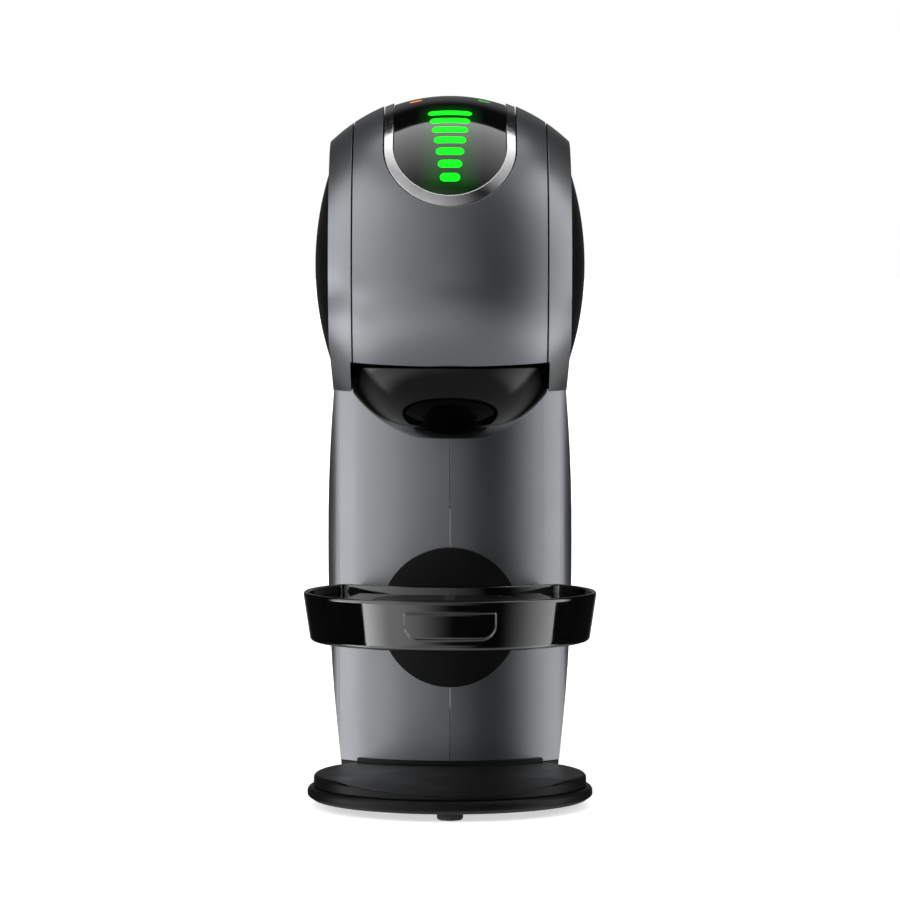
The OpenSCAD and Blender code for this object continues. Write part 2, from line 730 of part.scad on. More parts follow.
chamber_out = mouth_hw + 1.8;
chamber_rear_y = pod_y + 52;
module brew_chamber() color([0.025, 0.025, 0.028]) difference() {
    union() {
        // cheeks beside the holder
        intersection() {
            difference() {
                block(-chamber_out, chamber_out, -BIG / 2, chamber_rear_y, mouth_front_z - 16, bridge_z);
                block(-mouth_hw, mouth_hw, -BIG, BIG, 0, BIG);
            }
            body_form(wall + 0.5, 60, body_rear_y);
        }
        // pocket wall behind the holder
        intersection() {
            difference() {
                pocket(1.8);
                pocket(0);
            }
            block(-chamber_out, chamber_out, pod_y, chamber_rear_y, 60, ceiling_z + 1);
            union() {
                translate([0, 0, 60]) linear_extrude(BIG) front_plan(wall + 0.25, body_rear_y);
            }
        }
        // ceiling with a hole for the injector
        intersection() {
            block(-mouth_hw - 0.5, mouth_hw + 0.5, -BIG / 2, col_front_y - 0.6, ceiling_z, ceiling_z + 2);
            ball(wall + 0.4);
        }
        // rails for the grooves of the holder
        for (s = [-1, 1]) block(s > 0 ? mouth_hw - 1.3 : -mouth_hw - 0.5, s > 0 ? mouth_hw + 0.5 : -mouth_hw + 1.3,
            pod_y - 11, pod_y + 27, rail_z, rail_z + 1.8);
        // bosses of the magnets that hold the holder in
        difference() {
            for (s = [-1, 1]) rod_y(4.6, s * magnet_x, pod_y + 34, pod_y + 43.4, magnet_z);
            pocket(0);
        }
        // foot that stands on the heater shelf
        for (s = [-1, 1]) block(s > 0 ? side_rib_x - 4 : -chamber_out, s > 0 ? chamber_out : -side_rib_x + 4,
            chamber_rear_y - 6, chamber_rear_y, heater_z - 3 + 0.1, bridge_z);
    }
    rod_z(pod_rim_r, 0, pod_y, ceiling_z - 1, ceiling_z + 5);
    for (s = [-1, 1]) rod_y(3.05, s * magnet_x, pod_y + 39, pod_y + 50, magnet_z);
}

module brew_frame() color([0.55, 0.55, 0.57]) difference() {
    union() {
        intersection() {
            block(-mouth_hw, mouth_hw, pod_y - 22, chamber_rear_y + 4, bridge_z + 0.1, bridge_z + bridge_t);
            ball_and_roof(wall + 0.5);
        }
        rod_z(12, 0, pod_y, bridge_z - 3.5, bridge_z + bridge_t);
        for (s = [-1, 1]) {
            block(s > 0 ? 26 : -30, s > 0 ? 30 : -26, pivot_y - 9, pivot_y + 9, bridge_z + 1, pivot_z);
            rod_x(4.6, s > 0 ? 26 : -30, s > 0 ? 30 : -26, pivot_y, pivot_z);
        }
    }
    rod_z(8.05, 0, pod_y, bridge_z - 10, bridge_z + 20);
    for (s = [-1, 1]) rod_z(post_r + 0.01, s * post_x, post_y, bridge_z - 1, bridge_z + 20);
    rod_x(shaft_r + pin_gap, -40, 40, pivot_y, pivot_z);
}

module guide_posts() color([0.7, 0.7, 0.72]) for (s = [-1, 1])
    rod_z(post_r, s * post_x, post_y, bridge_z + 0.5, carrier_z + carrier_t + 6);

module injector_carrier() color([0.7, 0.7, 0.68]) difference() {
    union() {
        difference() {
            block(-23, 23, pod_y - 9, pivot_y + 7, carrier_z, carrier_z + carrier_t);
            block(-11, 11, pod_y + 10, pivot_y - 6, carrier_z - 1, carrier_z + carrier_t + 1);
        }
        rod_z(8, 0, pod_y, seal_z + 9, carrier_z + 1);
        rod_z(11, 0, pod_y, bridge_z + bridge_t + injector_lift + 2, carrier_z + 1);
    }
    for (s = [-1, 1]) rod_z(post_r + pin_gap, s * post_x, post_y, carrier_z - 1, carrier_z + 20);
    rod_z(1.6, 0, pod_y, seal_z, carrier_z - 8);
    rod_y(1.6, 0, pod_y, pod_y + 20, carrier_z - 8);
}

head_disc_r = 25;
module injector_head() color([0.15, 0.15, 0.16]) difference() {
    union() {
        rod_z(head_disc_r, 0, pod_y, seal_z + 3.4, seal_z + 9);
        rod_z(11, 0, pod_y, seal_z + 8.5, seal_z + 13);
    }
    rod_z(8, 0, pod_y, seal_z + 9, seal_z + 20);
    rod_z(1.2, 0, pod_y, 0, seal_z + 20);
    difference() {
        rod_z(head_disc_r + 1, 0, pod_y, seal_z, seal_z + 5.4);
        rod_z(head_disc_r - 3, 0, pod_y, seal_z - 1, seal_z + 6);
    }
}
module injector_needle() color([0.8, 0.8, 0.82]) difference() {
    union() {
        rod_z(1.2, 0, pod_y, seal_z + 0.8, seal_z + 9);
        translate([0, pod_y, holder_top_z + 0.3]) cylinder(r1 = 0.3, r2 = 1.2, h = seal_z + 0.8 - holder_top_z - 0.3 + EPS);
    }
    rod_z(0.6, 0, pod_y, seal_z + 1.6, seal_z + 10);
    rod_y(0.4, 0, pod_y, pod_y + 3, seal_z + 2.2);
}
module injector_seal() color([0.75, 0.3, 0.2]) translate([0, pod_y, seal_z]) difference() {
    union() {
        cylinder(r = head_disc_r, h = 5.4);
        cylinder(r = head_disc_r + 0.6, h = 2);
    }
    translate([0, 0, -1]) cylinder(r = head_disc_r - 3, h = 9);
    translate([0, 0, -EPS]) cylinder(r1 = head_disc_r - 1.2, r2 = head_disc_r - 3, h = 1.6);
}

// Helical spring: a round wire swept along a helix, with its ends cut square
module helix(r, wire, turns, h, sides = 6, steps = 14) {
    n = round(turns * steps);
    function centre(k) = [r * cos(360 * k / steps), r * sin(360 * k / steps), wire + (h - 2 * wire) * k / n];
    function out(k) = [cos(360 * k / steps), sin(360 * k / steps), 0];
    pts = [for (k = [0:n]) for (j = [0:sides - 1])
        centre(k) + wire * (cos(360 * j / sides) * out(k) + [0, 0, sin(360 * j / sides)])];
    faces = concat(
        [[for (j = [0:sides - 1]) j]],
        [[for (j = [sides - 1:-1:0]) n * sides + j]],
        [for (k = [0:n - 1]) for (j = [0:sides - 1]) let (a = k * sides + j, b = k * sides + (j + 1) % sides)
            [a, a + sides, b + sides]],
        [for (k = [0:n - 1]) for (j = [0:sides - 1]) let (a = k * sides + j, b = k * sides + (j + 1) % sides)
            [a, b + sides, b]]);
    polyhedron(points = pts, faces = faces, convexity = 8);
}
module carrier_springs() color([0.7, 0.7, 0.72]) for (s = [-1, 1])
    translate([s * post_x, post_y, bridge_z + bridge_t + 0.1])
        helix(4, 0.6, 6, carrier_z - bridge_z - bridge_t - 0.2);

module lock_switch() color([0.1, 0.1, 0.12]) {
    block(6, 12.4, pivot_y - 5, pivot_y + 7, bridge_z + bridge_t + 0.1, carrier_z - 6);
    block(8, 10, pivot_y - 2, pivot_y, carrier_z - 6.1, carrier_z - 0.3);
}

// ---------------------------------------------------------------- pod holder

module pod_holder() color([0.015, 0.015, 0.015]) difference() {
    intersection() {
        translate([0, pod_y, bowl_z]) sphere(bowl_r);
        block(-holder_hw, holder_hw, -BIG / 2, BIG / 2, 60, holder_top_z);
    }
    // seat of the pod's rim, cup and outlet
    rod_z(pod_rim_r, 0, pod_y, holder_top_z - 1.4, holder_top_z + 5);
    translate([0, pod_y, bowl_z - bowl_r + 7]) cylinder(r1 = pod_cup_r - 3.5, r2 = pod_cup_r, h = bowl_r - 7 - bowl_z + holder_top_z + EPS);
    rod_z(13, 0, pod_y, bowl_z - bowl_r - 5, bowl_z);
    // grooves, and magnets in the back
    for (s = [-1, 1]) {
        block(s > 0 ? holder_hw - 1.3 : -holder_hw - 2, s > 0 ? holder_hw + 2 : -holder_hw + 1.3,
            pod_y - 40, pod_y + 40, rail_z - 0.3, rail_z + 2.1);
        rod_y(3.05, s * magnet_x, pod_y + 28.4, pod_y + 60, magnet_z);
    }
    // finger notches in the pod's rim seat
    for (s = [-1, 1]) rod_y(5, s * 13, pod_y - 30, pod_y - 18, holder_top_z + 1.5);
}
module holder_magnets() color([0.7, 0.7, 0.72]) for (s = [-1, 1]) rod_y(3, s * magnet_x, pod_y + 28.5, pod_y + 31, magnet_z);
module chamber_magnets() color([0.7, 0.7, 0.72]) for (s = [-1, 1]) rod_y(3, s * magnet_x, pod_y + 39.1, pod_y + 42.5, magnet_z);

// ---------------------------------------------------------------- drip tray

tray_z = tray_rim_z - tray_h;
tray_floor = 2.2;
tray_back_r = col_front_r + 3.8;      // concave back that follows the column
module tray_solid(i, floor_up) difference() {
    translate([0, pod_y, tray_z]) rotate_extrude() polygon([[0, floor_up], [tray_r - 4 - i, floor_up],
        [tray_r - 2.2 - i, floor_up + 1.6], [tray_r - i, tray_h - 1], [tray_r - i, tray_h + (i > 0 ? 5 : 0)], [0, tray_h + (i > 0 ? 5 : 0)]]);
    rod_z(tray_back_r + i, 0, col_o_y, 0, 200);
}
module grip_pad() intersection() {
    difference() {
        rod_z(tray_r + pad_t, 0, pod_y, tray_z, tray_z + 14.2);
        rod_z(tray_r - 2.4, 0, pod_y, tray_z - 1, tray_rim_z + 1);
    }
    translate([0, pod_y - 20, 0]) rotate([90, 0, 0]) linear_extrude(80) {
        translate([-17, tray_z + 9]) square([34, 7]);
        translate([-11.5, tray_z + 4.4]) square([23, 6]);
        for (s = [-1, 1]) translate([s * 11.5, tray_z + 9.9]) circle(5.5);
    }
}
module drip_tray() color([0.01, 0.01, 0.01]) {
    difference() {
        union() {
            tray_solid(0, 0);
            grip_pad();
        }
        difference() {
            tray_solid(2, tray_floor);
            // ledge under the grid
            for (a = [200, 245, 295, 340]) rod_z(2.4, (tray_r - 6) * cos(a), pod_y + (tray_r - 6) * sin(a), tray_z, grid_z - 0.05);
            for (s = [-1, 1]) rod_z(2.4, s * 22, pod_y + 16, tray_z, grid_z - 0.05);
        }
        for (s = [-1, 1]) rod_y(hook_r + 0.1, s * hook_x, hook_y0 - 0.2, pod_y + 60, hook_z);
    }
}
grid_z = tray_rim_z - 5.2;
grid_t = 2;
module drip_grid() color([0.015, 0.015, 0.015]) difference() {
    translate([0, 0, grid_z - (tray_rim_z - tray_h)]) difference() {
        intersection() {
            tray_solid(2.5, -5);
            rod_z(80, 0, pod_y, tray_rim_z - tray_h, tray_rim_z - tray_h + grid_t);
        }
    }
    // slots across a round field
    intersection() {
        rod_z(30, 0, pod_y - 4, grid_z - 1, grid_z + 5);
        for (k = [-6:6]) block(-40, -2.2, pod_y - 4 + k * 4.4 - 1.2, pod_y - 4 + k * 4.4 + 1.2, grid_z - 1, grid_z + 5);
    }
    intersection() {
        rod_z(30, 0, pod_y - 4, grid_z - 1, grid_z + 5);
        for (k = [-6:6]) block(2.2, 40, pod_y - 4 + k * 4.4 - 1.2, pod_y - 4 + k * 4.4 + 1.2, grid_z - 1, grid_z + 5);
    }
}
bracket_z = tray_z + 6.6;
hook_x = 12;
hook_r = 2.2;
hook_z = tray_z + 8;
module tray_bracket() color([0.02, 0.02, 0.02]) {
    difference() {
        intersection() {
            rod_y(bracket_r, 0, -BIG / 2, 0, bracket_z);
            difference() {
                rod_z(tray_back_r - 0.45, 0, col_o_y, 0, 200);
                rod_z(col_front_r + run_gap, 0, col_o_y, -1, 201);
            }
            block(-60, 60, -BIG / 2, 0, 0, 200);
        }
        for (x = [-9, 9]) for (z = [-14, 14]) rod_y(3.6, x, col_front_y - 1.6, 0, bracket_z + z);
    }
    for (s = [-1, 1]) rod_y(hook_r, s * hook_x, hook_y0, hook_y0 + 3.4, hook_z);
}
hook_y0 = col_o_y - sqrt(pow(tray_back_r, 2) - pow(hook_x, 2)) - 1.3;
module tray_magnets() color([0.7, 0.7, 0.72]) for (x = [-9, 9]) for (z = [-14, 14])
    rod_y(3.5, x, col_front_y - 1.5, col_front_y - 0.5, bracket_z + z);

module steel_strip() color([0.65, 0.65, 0.67]) intersection() {
    difference() {
        rod_z(col_front_r - wall - 0.1, 0, col_o_y, 34.2, 112);
        rod_z(col_front_r - wall - 1.2, 0, col_o_y, 30, 120);
    }
    block(-15, 15, -BIG / 2, 0, 0, 200);
}

// ---------------------------------------------------------------- water tank

lid_drop = 9;          // height of the lid's skirt, across the roof
seat_y = tank_front_y + 26;
seat_hole_r = 11;
tank_floor_z = shelf_z + 0.4;
hinge_z = head_z - (tank_rear_y - head_y) * tan(roof_slope) + (head_r - lid_drop) / cos(roof_slope);
hinge_y = rear_y - hinge_r;
module tank_form(i, z0, z1) intersection() {
    translate([0, 0, z0]) linear_extrude(z1 - z0) rear_plan(i + 0.3, tank_front_y + i);
    side_limit(i + 0.8);
}
module water_tank() color([0.25, 0.27, 0.3, 0.55]) {
    difference() {
        union() {
            difference() {
                tank_form(0, tank_floor_z, overall_h);
                above_roof(lid_drop);
                tank_form(tank_wall, tank_floor_z + tank_wall, overall_h + 1);
            }
            rod_z(9.2, 0, seat_y, tank_floor_z - 9, tank_floor_z + 6);
            for (s = [-1, 1]) {
                rod_x(hinge_r, s > 0 ? 8.3 : -14, s > 0 ? 14 : -8.3, hinge_y, hinge_z);
                block(s > 0 ? 8.3 : -14, s > 0 ? 14 : -8.3, hinge_y - 1.5, hinge_y, hinge_z - hinge_r - 1.5, hinge_z - 0.8);
            }
        }
        rod_z(5.6, 0, seat_y, tank_floor_z - 2, tank_floor_z + 10);
        rod_z(3.4, 0, seat_y, tank_floor_z - 15, tank_floor_z + 10);
        rod_x(1.22, -20, 20, hinge_y, hinge_z);
        rod_x(hinge_r + 0.4, -8.15, 8.15, hinge_y, hinge_z);
    }
}
module tank_lid() color([0.03, 0.03, 0.03]) difference() {
    union() {
        difference() {
            tank_form(0, 120, overall_h);
            above_roof(0.8);
            under_roof(lid_drop - 0.4);
            difference() {
                tank_form(tank_wall, 110, overall_h);
                above_roof(3.2);
            }
        }
        // lip inside the tank's mouth
        difference() {
            tank_form(tank_wall + 0.3, 120, overall_h);
            tank_form(tank_wall + 1.9, 110, overall_h + 1);
            above_roof(3);
            under_roof(lid_drop + 4);
        }
        rod_x(hinge_r, -8, 8, hinge_y, hinge_z);
        block(-8, 8, hinge_y - 3, hinge_y + 1, hinge_z + 0.4, hinge_z + 4.4);
    }
    rod_x(1.25, -20, 20, hinge_y, hinge_z);
    for (s = [-1, 1]) rod_x(hinge_r + 0.35, s > 0 ? 8 : -14.3, s > 0 ? 14.3 : -8, hinge_y, hinge_z);
}
// Everything below the roof surface inset by i
module under_roof(i) {
    roof(i);
    translate([0, head_y, head_z]) rotate([-roof_slope, 0, 0]) block(-80, 80, -20, BIG, -BIG, 0);
}
module lid_pin() color([0.7, 0.7, 0.72]) rod_x(1.2, -13.8, 13.8, hinge_y, hinge_z);

valve_z = tank_floor_z - 1.95;
module tank_valve() color([0.85, 0.85, 0.85]) {
    rod_z(5.2, 0, seat_y, valve_z, valve_z + 2);
    rod_z(2.2, 0, seat_y, valve_z - 5.4, valve_z + 1);
    rod_z(1.6, 0, seat_y, valve_z + 1.8, valve_z + 7);
}
module tank_filter() color([0.8, 0.8, 0.78]) difference() {
    rod_z(7.8, 0, seat_y, tank_floor_z + 6.1, tank_floor_z + 15);
    rod_z(5.6, 0, seat_y, tank_floor_z + 5, tank_floor_z + 8.95);
    rod_z(6.2, 0, seat_y, tank_floor_z + 10.2, tank_floor_z + 13.8);
    for (a = [0:60:300]) rod_z(0.9, 4 * cos(a), seat_y + 4 * sin(a), tank_floor_z + 8, tank_floor_z + 11);
    for (a = [0:30:150]) translate([0, seat_y, 0]) rotate(a) block(-9, 9, -0.9, 0.9, tank_floor_z + 10.2, tank_floor_z + 13.8);
}
module valve_spring() color([0.7, 0.7, 0.72]) translate([0, seat_y, valve_z + 2.05])
    helix(3.4, 0.4, 5, tank_floor_z + 8.9 - valve_z - 2.05);

module tank_seat() color([0.1, 0.1, 0.1]) {
    // pin that pushes the tank's valve open
    rod_z(1.2, 0, seat_y, supply_z - 5, valve_z - 5.45);
    seat_shell();
}
module seat_shell() difference() {
    union() {
        rod_z(seat_hole_r - 0.2, 0, seat_y, supply_z - 5.4, shelf_z - 0.4);
        rod_z(seat_hole_r + 2.4, 0, seat_y, shelf_z - 5.4, shelf_z - 2.6);
        rod_y(hose_r + 1, 0, seat_y - 16, seat_y, supply_z);
    }
    rod_z(9.5, 0, seat_y, supply_z - 3.6, shelf_z + 5);
    rod_y(1.6, 0, seat_y - 30, seat_y, supply_z);
    rod_z(10.2, 0, seat_y, shelf_z - 4.2, shelf_z - 1.8);
}
module seat_ring() color([0.05, 0.05, 0.05]) translate([0, seat_y, shelf_z - 3]) difference() {
    rod_z(10.1, 0, 0, -1.1, 1.1);
    rod_z(9.3, 0, 0, -2, 2);
}

module supply_hose() color([0.85, 0.85, 0.85, 0.7]) difference() {
    rod_y(hose_r + 1, 0, pump_y + meter_r + 3.4, seat_y - 16.1, supply_z);
    rod_y(1.8, 0, pump_y, seat_y, supply_z);
}

// ---------------------------------------------------------------- flow meter and pump

module flow_meter() color([0.9, 0.9, 0.9]) difference() {
    union() {
        rod_z(meter_r, 0, pump_y, meter_z, meter_z + meter_h);
        rod_y(hose_r + 1, 0, pump_y + meter_r - 2, pump_y + meter_r + 3.2, supply_z);
        rod_z(5, 0, pump_y, meter_z + meter_h - 1, pump_z - 24);
        for (a = [45, 135, 225, 315]) rod_z(2.4, 15.5 * cos(a), pump_y + 15.5 * sin(a), meter_z - 0.5, meter_z + meter_h);
    }
    rod_z(meter_r - 2.2, 0, pump_y, meter_z + 2.2, meter_z + meter_h - 2.2);
    rod_z(1.05, 0, pump_y, meter_z + 1, meter_z + meter_h - 1.2);
    rod_z(1.8, 0, pump_y, meter_z + meter_h, pump_z - 23);
    rod_z(0.9, 7, pump_y, meter_z + meter_h - 4, meter_z + meter_h + 1);
    rod_y(1.8, 0, pump_y + 3, pump_y + meter_r + 5, supply_z);
}
module flow_wheel() color([0.2, 0.5, 0.8]) translate([0, pump_y, 0]) {
    rod_z(1, 0, 0, meter_z + 1.2, meter_z + meter_h - 1.4);
    rod_z(3, 0, 0, meter_z + 3.5, meter_z + meter_h - 4);
    for (a = [0:60:300]) rotate(a) block(2, meter_r - 3.6, -0.6, 0.6, meter_z + 3.5, meter_z + meter_h - 4);
}

pump_top = pump_z + pump_h + 30;
module pump_body() color([0.92, 0.92, 0.9]) difference() {
    union() {
        rod_z(pump_tube_r, 0, pump_y, pump_z - 20, pump_z + pump_h + 20);
        rod_z(5, 0, pump_y, pump_z - 23.9, pump_z - 19);
        rod_z(7, 0, pump_y, pump_z + pump_h + 19, pump_z + pump_h + 24);
        rod_z(hose_r + 0.2, 0, pump_y, pump_z + pump_h + 23, pump_top - 4);
    }
    rod_z(5.2, 0, pump_y, pump_z - 14, pump_z + pump_h + 12);
    rod_z(1.6, 0, pump_y, pump_z - 30, pump_top);
}
module pump_coil() color([0.35, 0.33, 0.3]) difference() {
    union() {
        block(-pump_w / 2, pump_w / 2, pump_y - 17, pump_y + 17, pump_z, pump_z + pump_h);
        rod_z(16.5, 0, pump_y, pump_z + 2, pump_z + pump_h - 2);
        for (x = [-9, 4]) block(x, x + 5, pump_y - 23, pump_y - 16, pump_z + pump_h - 12, pump_z + pump_h - 11);
    }
    rod_z(pump_tube_r + 0.1, 0, pump_y, pump_z - 1, pump_z + pump_h + 1);
    for (s = [-1, 1]) block(s > 0 ? 18.6 : -30, s > 0 ? 30 : -18.6, pump_y - 20, pump_y + 20, pump_z + 2.4, pump_z + pump_h - 2.4);
}
module pump_piston() color([0.75, 0.75, 0.77]) difference() {
    rod_z(5.15, 0, pump_y, pump_z - 6, pump_z + pump_h + 4);
    rod_z(1.2, 0, pump_y, pump_z - 20, pump_z + pump_h + 20);
}
module pump_mounts() color([0.05, 0.05, 0.05]) for (z = [pump_z - 16, pump_z + pump_h + 8])
    translate([0, pump_y, z]) difference() {
        union() {
            rod_z(17, 0, 0, 0, 8);
            rod_z(18.6, 0, 0, 8.1, 9.6);
            rod_z(15, 0, 0, 7, 9);
        }
        rod_z(pump_tube_r + 0.05, 0, 0, -1, 12);
    }

// Round tube swept along a list of points, with its corners bent to a radius of about one bend
bend = 9;
function lerp(a, b, t) = a + (b - a) * t;
function unit(v) = v / norm(v);
function bent(pts) = [for (k = [0:len(pts) - 1])
    if (k == 0 || k == len(pts) - 1) pts[k]
    else let (p = pts[k], d = min(bend, norm(p - pts[k - 1]) * 0.48, norm(pts[k + 1] - p) * 0.48),
        a = p + d * unit(pts[k - 1] - p), b = p + d * unit(pts[k + 1] - p))
        for (j = [0:6]) lerp(lerp(a, p, j / 6), lerp(p, b, j / 6), j / 6)];
module hose(r, pts, side = [1, 0.2, 0.1], sides = 16) {
    path = bent(pts);
    n = len(path) - 1;
    function along(k) = k == 0 ? unit(path[1] - path[0]) : k == n ? unit(path[n] - path[n - 1])
        : unit(unit(path[k] - path[k - 1]) + unit(path[k + 1] - path[k]));
    function u(k) = unit(cross(side, along(k)));
    function v(k) = cross(along(k), u(k));
    points = [for (k = [0:n]) for (j = [0:sides - 1])
        path[k] + r * (cos(360 * j / sides) * u(k) + sin(360 * j / sides) * v(k))];
    faces = concat([[for (j = [0:sides - 1]) j]], [[for (j = [sides - 1:-1:0]) n * sides + j]],
        [for (k = [0:n - 1]) for (j = [0:sides - 1]) let (a = k * sides + j, b = k * sides + (j + 1) % sides)
            each [[a, a + sides, b + sides], [a, b + sides, b]]]);
    polyhedron(points = points, faces = faces, convexity = 8);
}
pressure_x = 22;
pressure_y = heater_y + heater_r + 4;
module pressure_hose() color([0.9, 0.9, 0.9]) hose(hose_r, [[0, pump_y, pump_top - 3.9], [0, pump_y, pump_top + 4],
    [pressure_x, pressure_y, pump_top + 4], [pressure_x, pressure_y, heater_z + heater_h + 9],
    [14, heater_y + 12, heater_z + heater_h + 9], [14, heater_y + 12, heater_z + heater_h + 4.1]]);

// ---------------------------------------------------------------- heater and brew hose

module heater_block() color([0.72, 0.72, 0.74]) {
    difference() {
        union() {
            translate([0, heater_y, heater_z]) rotate_extrude() polygon([[0, 0], [heater_r - 4, 0], [heater_r, 3],
                [heater_r, heater_h - 3], [heater_r - 4, heater_h], [0, heater_h]]);
            for (s = [-1, 1]) rod_z(4, s * 14, heater_y + 12 * s, heater_z + heater_h - 1, heater_z + heater_h + 4);
            for (a = [30, 150, 270]) rod_z(3.5, 20 * cos(a), heater_y + 20 * sin(a), heater_z - 3, heater_z + 1);
        }
        for (k = [0:4]) translate([0, heater_y, heater_z + 8 + k * 6.4]) rotate_extrude() translate([heater_r, 0]) square([6, 2.6], center = true);
    }
    for (a = [-14, 14]) rod_z(1.5, 8 * cos(a * 4), heater_y - 8 * sin(a * 4), heater_z + heater_h - 1, heater_z + heater_h + 9);
}
module heater_fuses() color([0.85, 0.8, 0.7]) for (s = [-1, 1]) {
    translate([s * 14, heater_y - s * 8, heater_z + heater_h + 0.05]) cylinder(r = 5.5, h = 4);
    for (e = [-1, 1]) block(s * 14 + e * 3.4 - 0.4, s * 14 + e * 3.4 + 0.4, heater_y - s * 8 - 2.6, heater_y - s * 8 + 2.6, heater_z + heater_h + 4, heater_z + heater_h + 9);
}
module brew_hose() color([0.9, 0.9, 0.9]) hose(hose_r, [[-14, heater_y - 12, heater_z + heater_h + 4.1],
    [-14, heater_y - 12, carrier_z - 8], [0, pod_y + 26, carrier_z - 8], [0, pod_y + 11.1, carrier_z - 8]]);

// ---------------------------------------------------------------- control board

module control_board() {
    color([0.05, 0.3, 0.15]) block(-30, 30, board_y, board_y + board_t, deck_z + wall + 0.05, 112);
    color([0.15, 0.15, 0.15]) block(-26, -8, board_y + board_t - EPS, board_y + 17, 34, 50);
    color([0.1, 0.1, 0.4]) rod_y(6, 6, board_y + board_t - EPS, board_y + 18, 42);
    color([0.9, 0.9, 0.85]) block(14, 28, board_y + board_t - EPS, board_y + 12, 34, 60);
    color([0.05, 0.05, 0.05]) block(-24, -10, board_y + board_t - EPS, board_y + 4, 62, 76);
    color([0.8, 0.2, 0.1]) for (k = [0:3]) block(-26 + k * 13, -18 + k * 13, board_y + board_t - EPS, board_y + 9, 96, 106);
}

// ---------------------------------------------------------------- drawing
base_plate();
base_cover();
rubber_feet();
case_screws();
chassis();
shell_left();
shell_right();
front_panel();
top_cover();
rear_cover();
side_disc_left();
side_disc_right();
display_frame();
touch_panel();
light_bars();
status_lights();
touch_board();
power_button();
button_switch();
lock_handle();
handle_shaft();
lock_cams();
brew_chamber();
brew_frame();
guide_posts();
injector_carrier();
injector_head();
injector_needle();
injector_seal();
carrier_springs();
lock_switch();
pod_holder();
holder_magnets();
chamber_magnets();
drip_tray();
drip_grid();
tray_bracket();
tray_magnets();
steel_strip();
water_tank();
tank_lid();
lid_pin();
tank_filter();
tank_valve();
valve_spring();
tank_seat();
seat_ring();
supply_hose();
flow_meter();
flow_wheel();
pump_body();
pump_coil();
pump_piston();
pump_mounts();
pressure_hose();
heater_block();
heater_fuses();
brew_hose();
control_board();
cord_bush();
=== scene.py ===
"""Looks of a pod coffee machine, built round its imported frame: finishes for every frame node, mouldings with
rolled edges for some of them, a new drip tray, and a studio of soft boxes with a pale floor.

Lengths in the functions are millimetres and become metres in the meshes. +Z is up, the front faces -Y.
"""
import json
import math
import bmesh
import bpy
import numpy as np
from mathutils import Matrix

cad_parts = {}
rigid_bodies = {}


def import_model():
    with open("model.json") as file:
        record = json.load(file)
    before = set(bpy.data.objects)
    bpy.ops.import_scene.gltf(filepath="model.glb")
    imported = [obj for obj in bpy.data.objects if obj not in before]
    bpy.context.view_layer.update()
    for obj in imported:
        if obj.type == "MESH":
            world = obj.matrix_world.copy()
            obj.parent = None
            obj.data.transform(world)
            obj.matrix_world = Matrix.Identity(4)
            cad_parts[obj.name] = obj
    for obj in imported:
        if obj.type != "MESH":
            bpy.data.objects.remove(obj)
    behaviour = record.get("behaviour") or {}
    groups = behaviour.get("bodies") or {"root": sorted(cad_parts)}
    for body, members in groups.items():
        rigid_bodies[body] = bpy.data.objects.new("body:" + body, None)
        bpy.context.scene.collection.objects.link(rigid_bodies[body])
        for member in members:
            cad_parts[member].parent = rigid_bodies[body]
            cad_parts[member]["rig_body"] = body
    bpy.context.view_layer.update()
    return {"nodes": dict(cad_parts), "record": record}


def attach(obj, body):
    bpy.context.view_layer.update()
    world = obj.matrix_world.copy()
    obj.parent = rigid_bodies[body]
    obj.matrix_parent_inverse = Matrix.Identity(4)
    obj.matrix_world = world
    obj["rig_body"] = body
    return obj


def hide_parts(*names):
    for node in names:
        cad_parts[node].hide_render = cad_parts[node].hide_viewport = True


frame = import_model()
scene = bpy.context.scene
scene.view_settings.view_transform = "Standard"
MM = 0.001

# ---------------------------------------------------------------- camera
CAMERA_PLACE = (0.0, -1.788, 0.2095)                    # metres, in front of the machine at the height of its head
CAMERA_DOWN = 2.477                                     # degrees below level
FOCAL_LENGTH = 178.5                                    # millimetres, on a sensor 36 mm wide

lens = bpy.data.cameras.new("studio_camera")
lens.sensor_width = 36.0
lens.lens = FOCAL_LENGTH
lens.clip_start = 0.05
lens.clip_end = 60.0
camera = bpy.data.objects.new("studio_camera", lens)
camera.location = CAMERA_PLACE
camera.rotation_euler = (math.radians(90 - CAMERA_DOWN), 0.0, 0.0)
scene.collection.objects.link(camera)
scene.camera = camera


# ---------------------------------------------------------------- finishes
ROLLED_EDGE = 0.35                                      # millimetres, how far the shading rounds a sharp edge


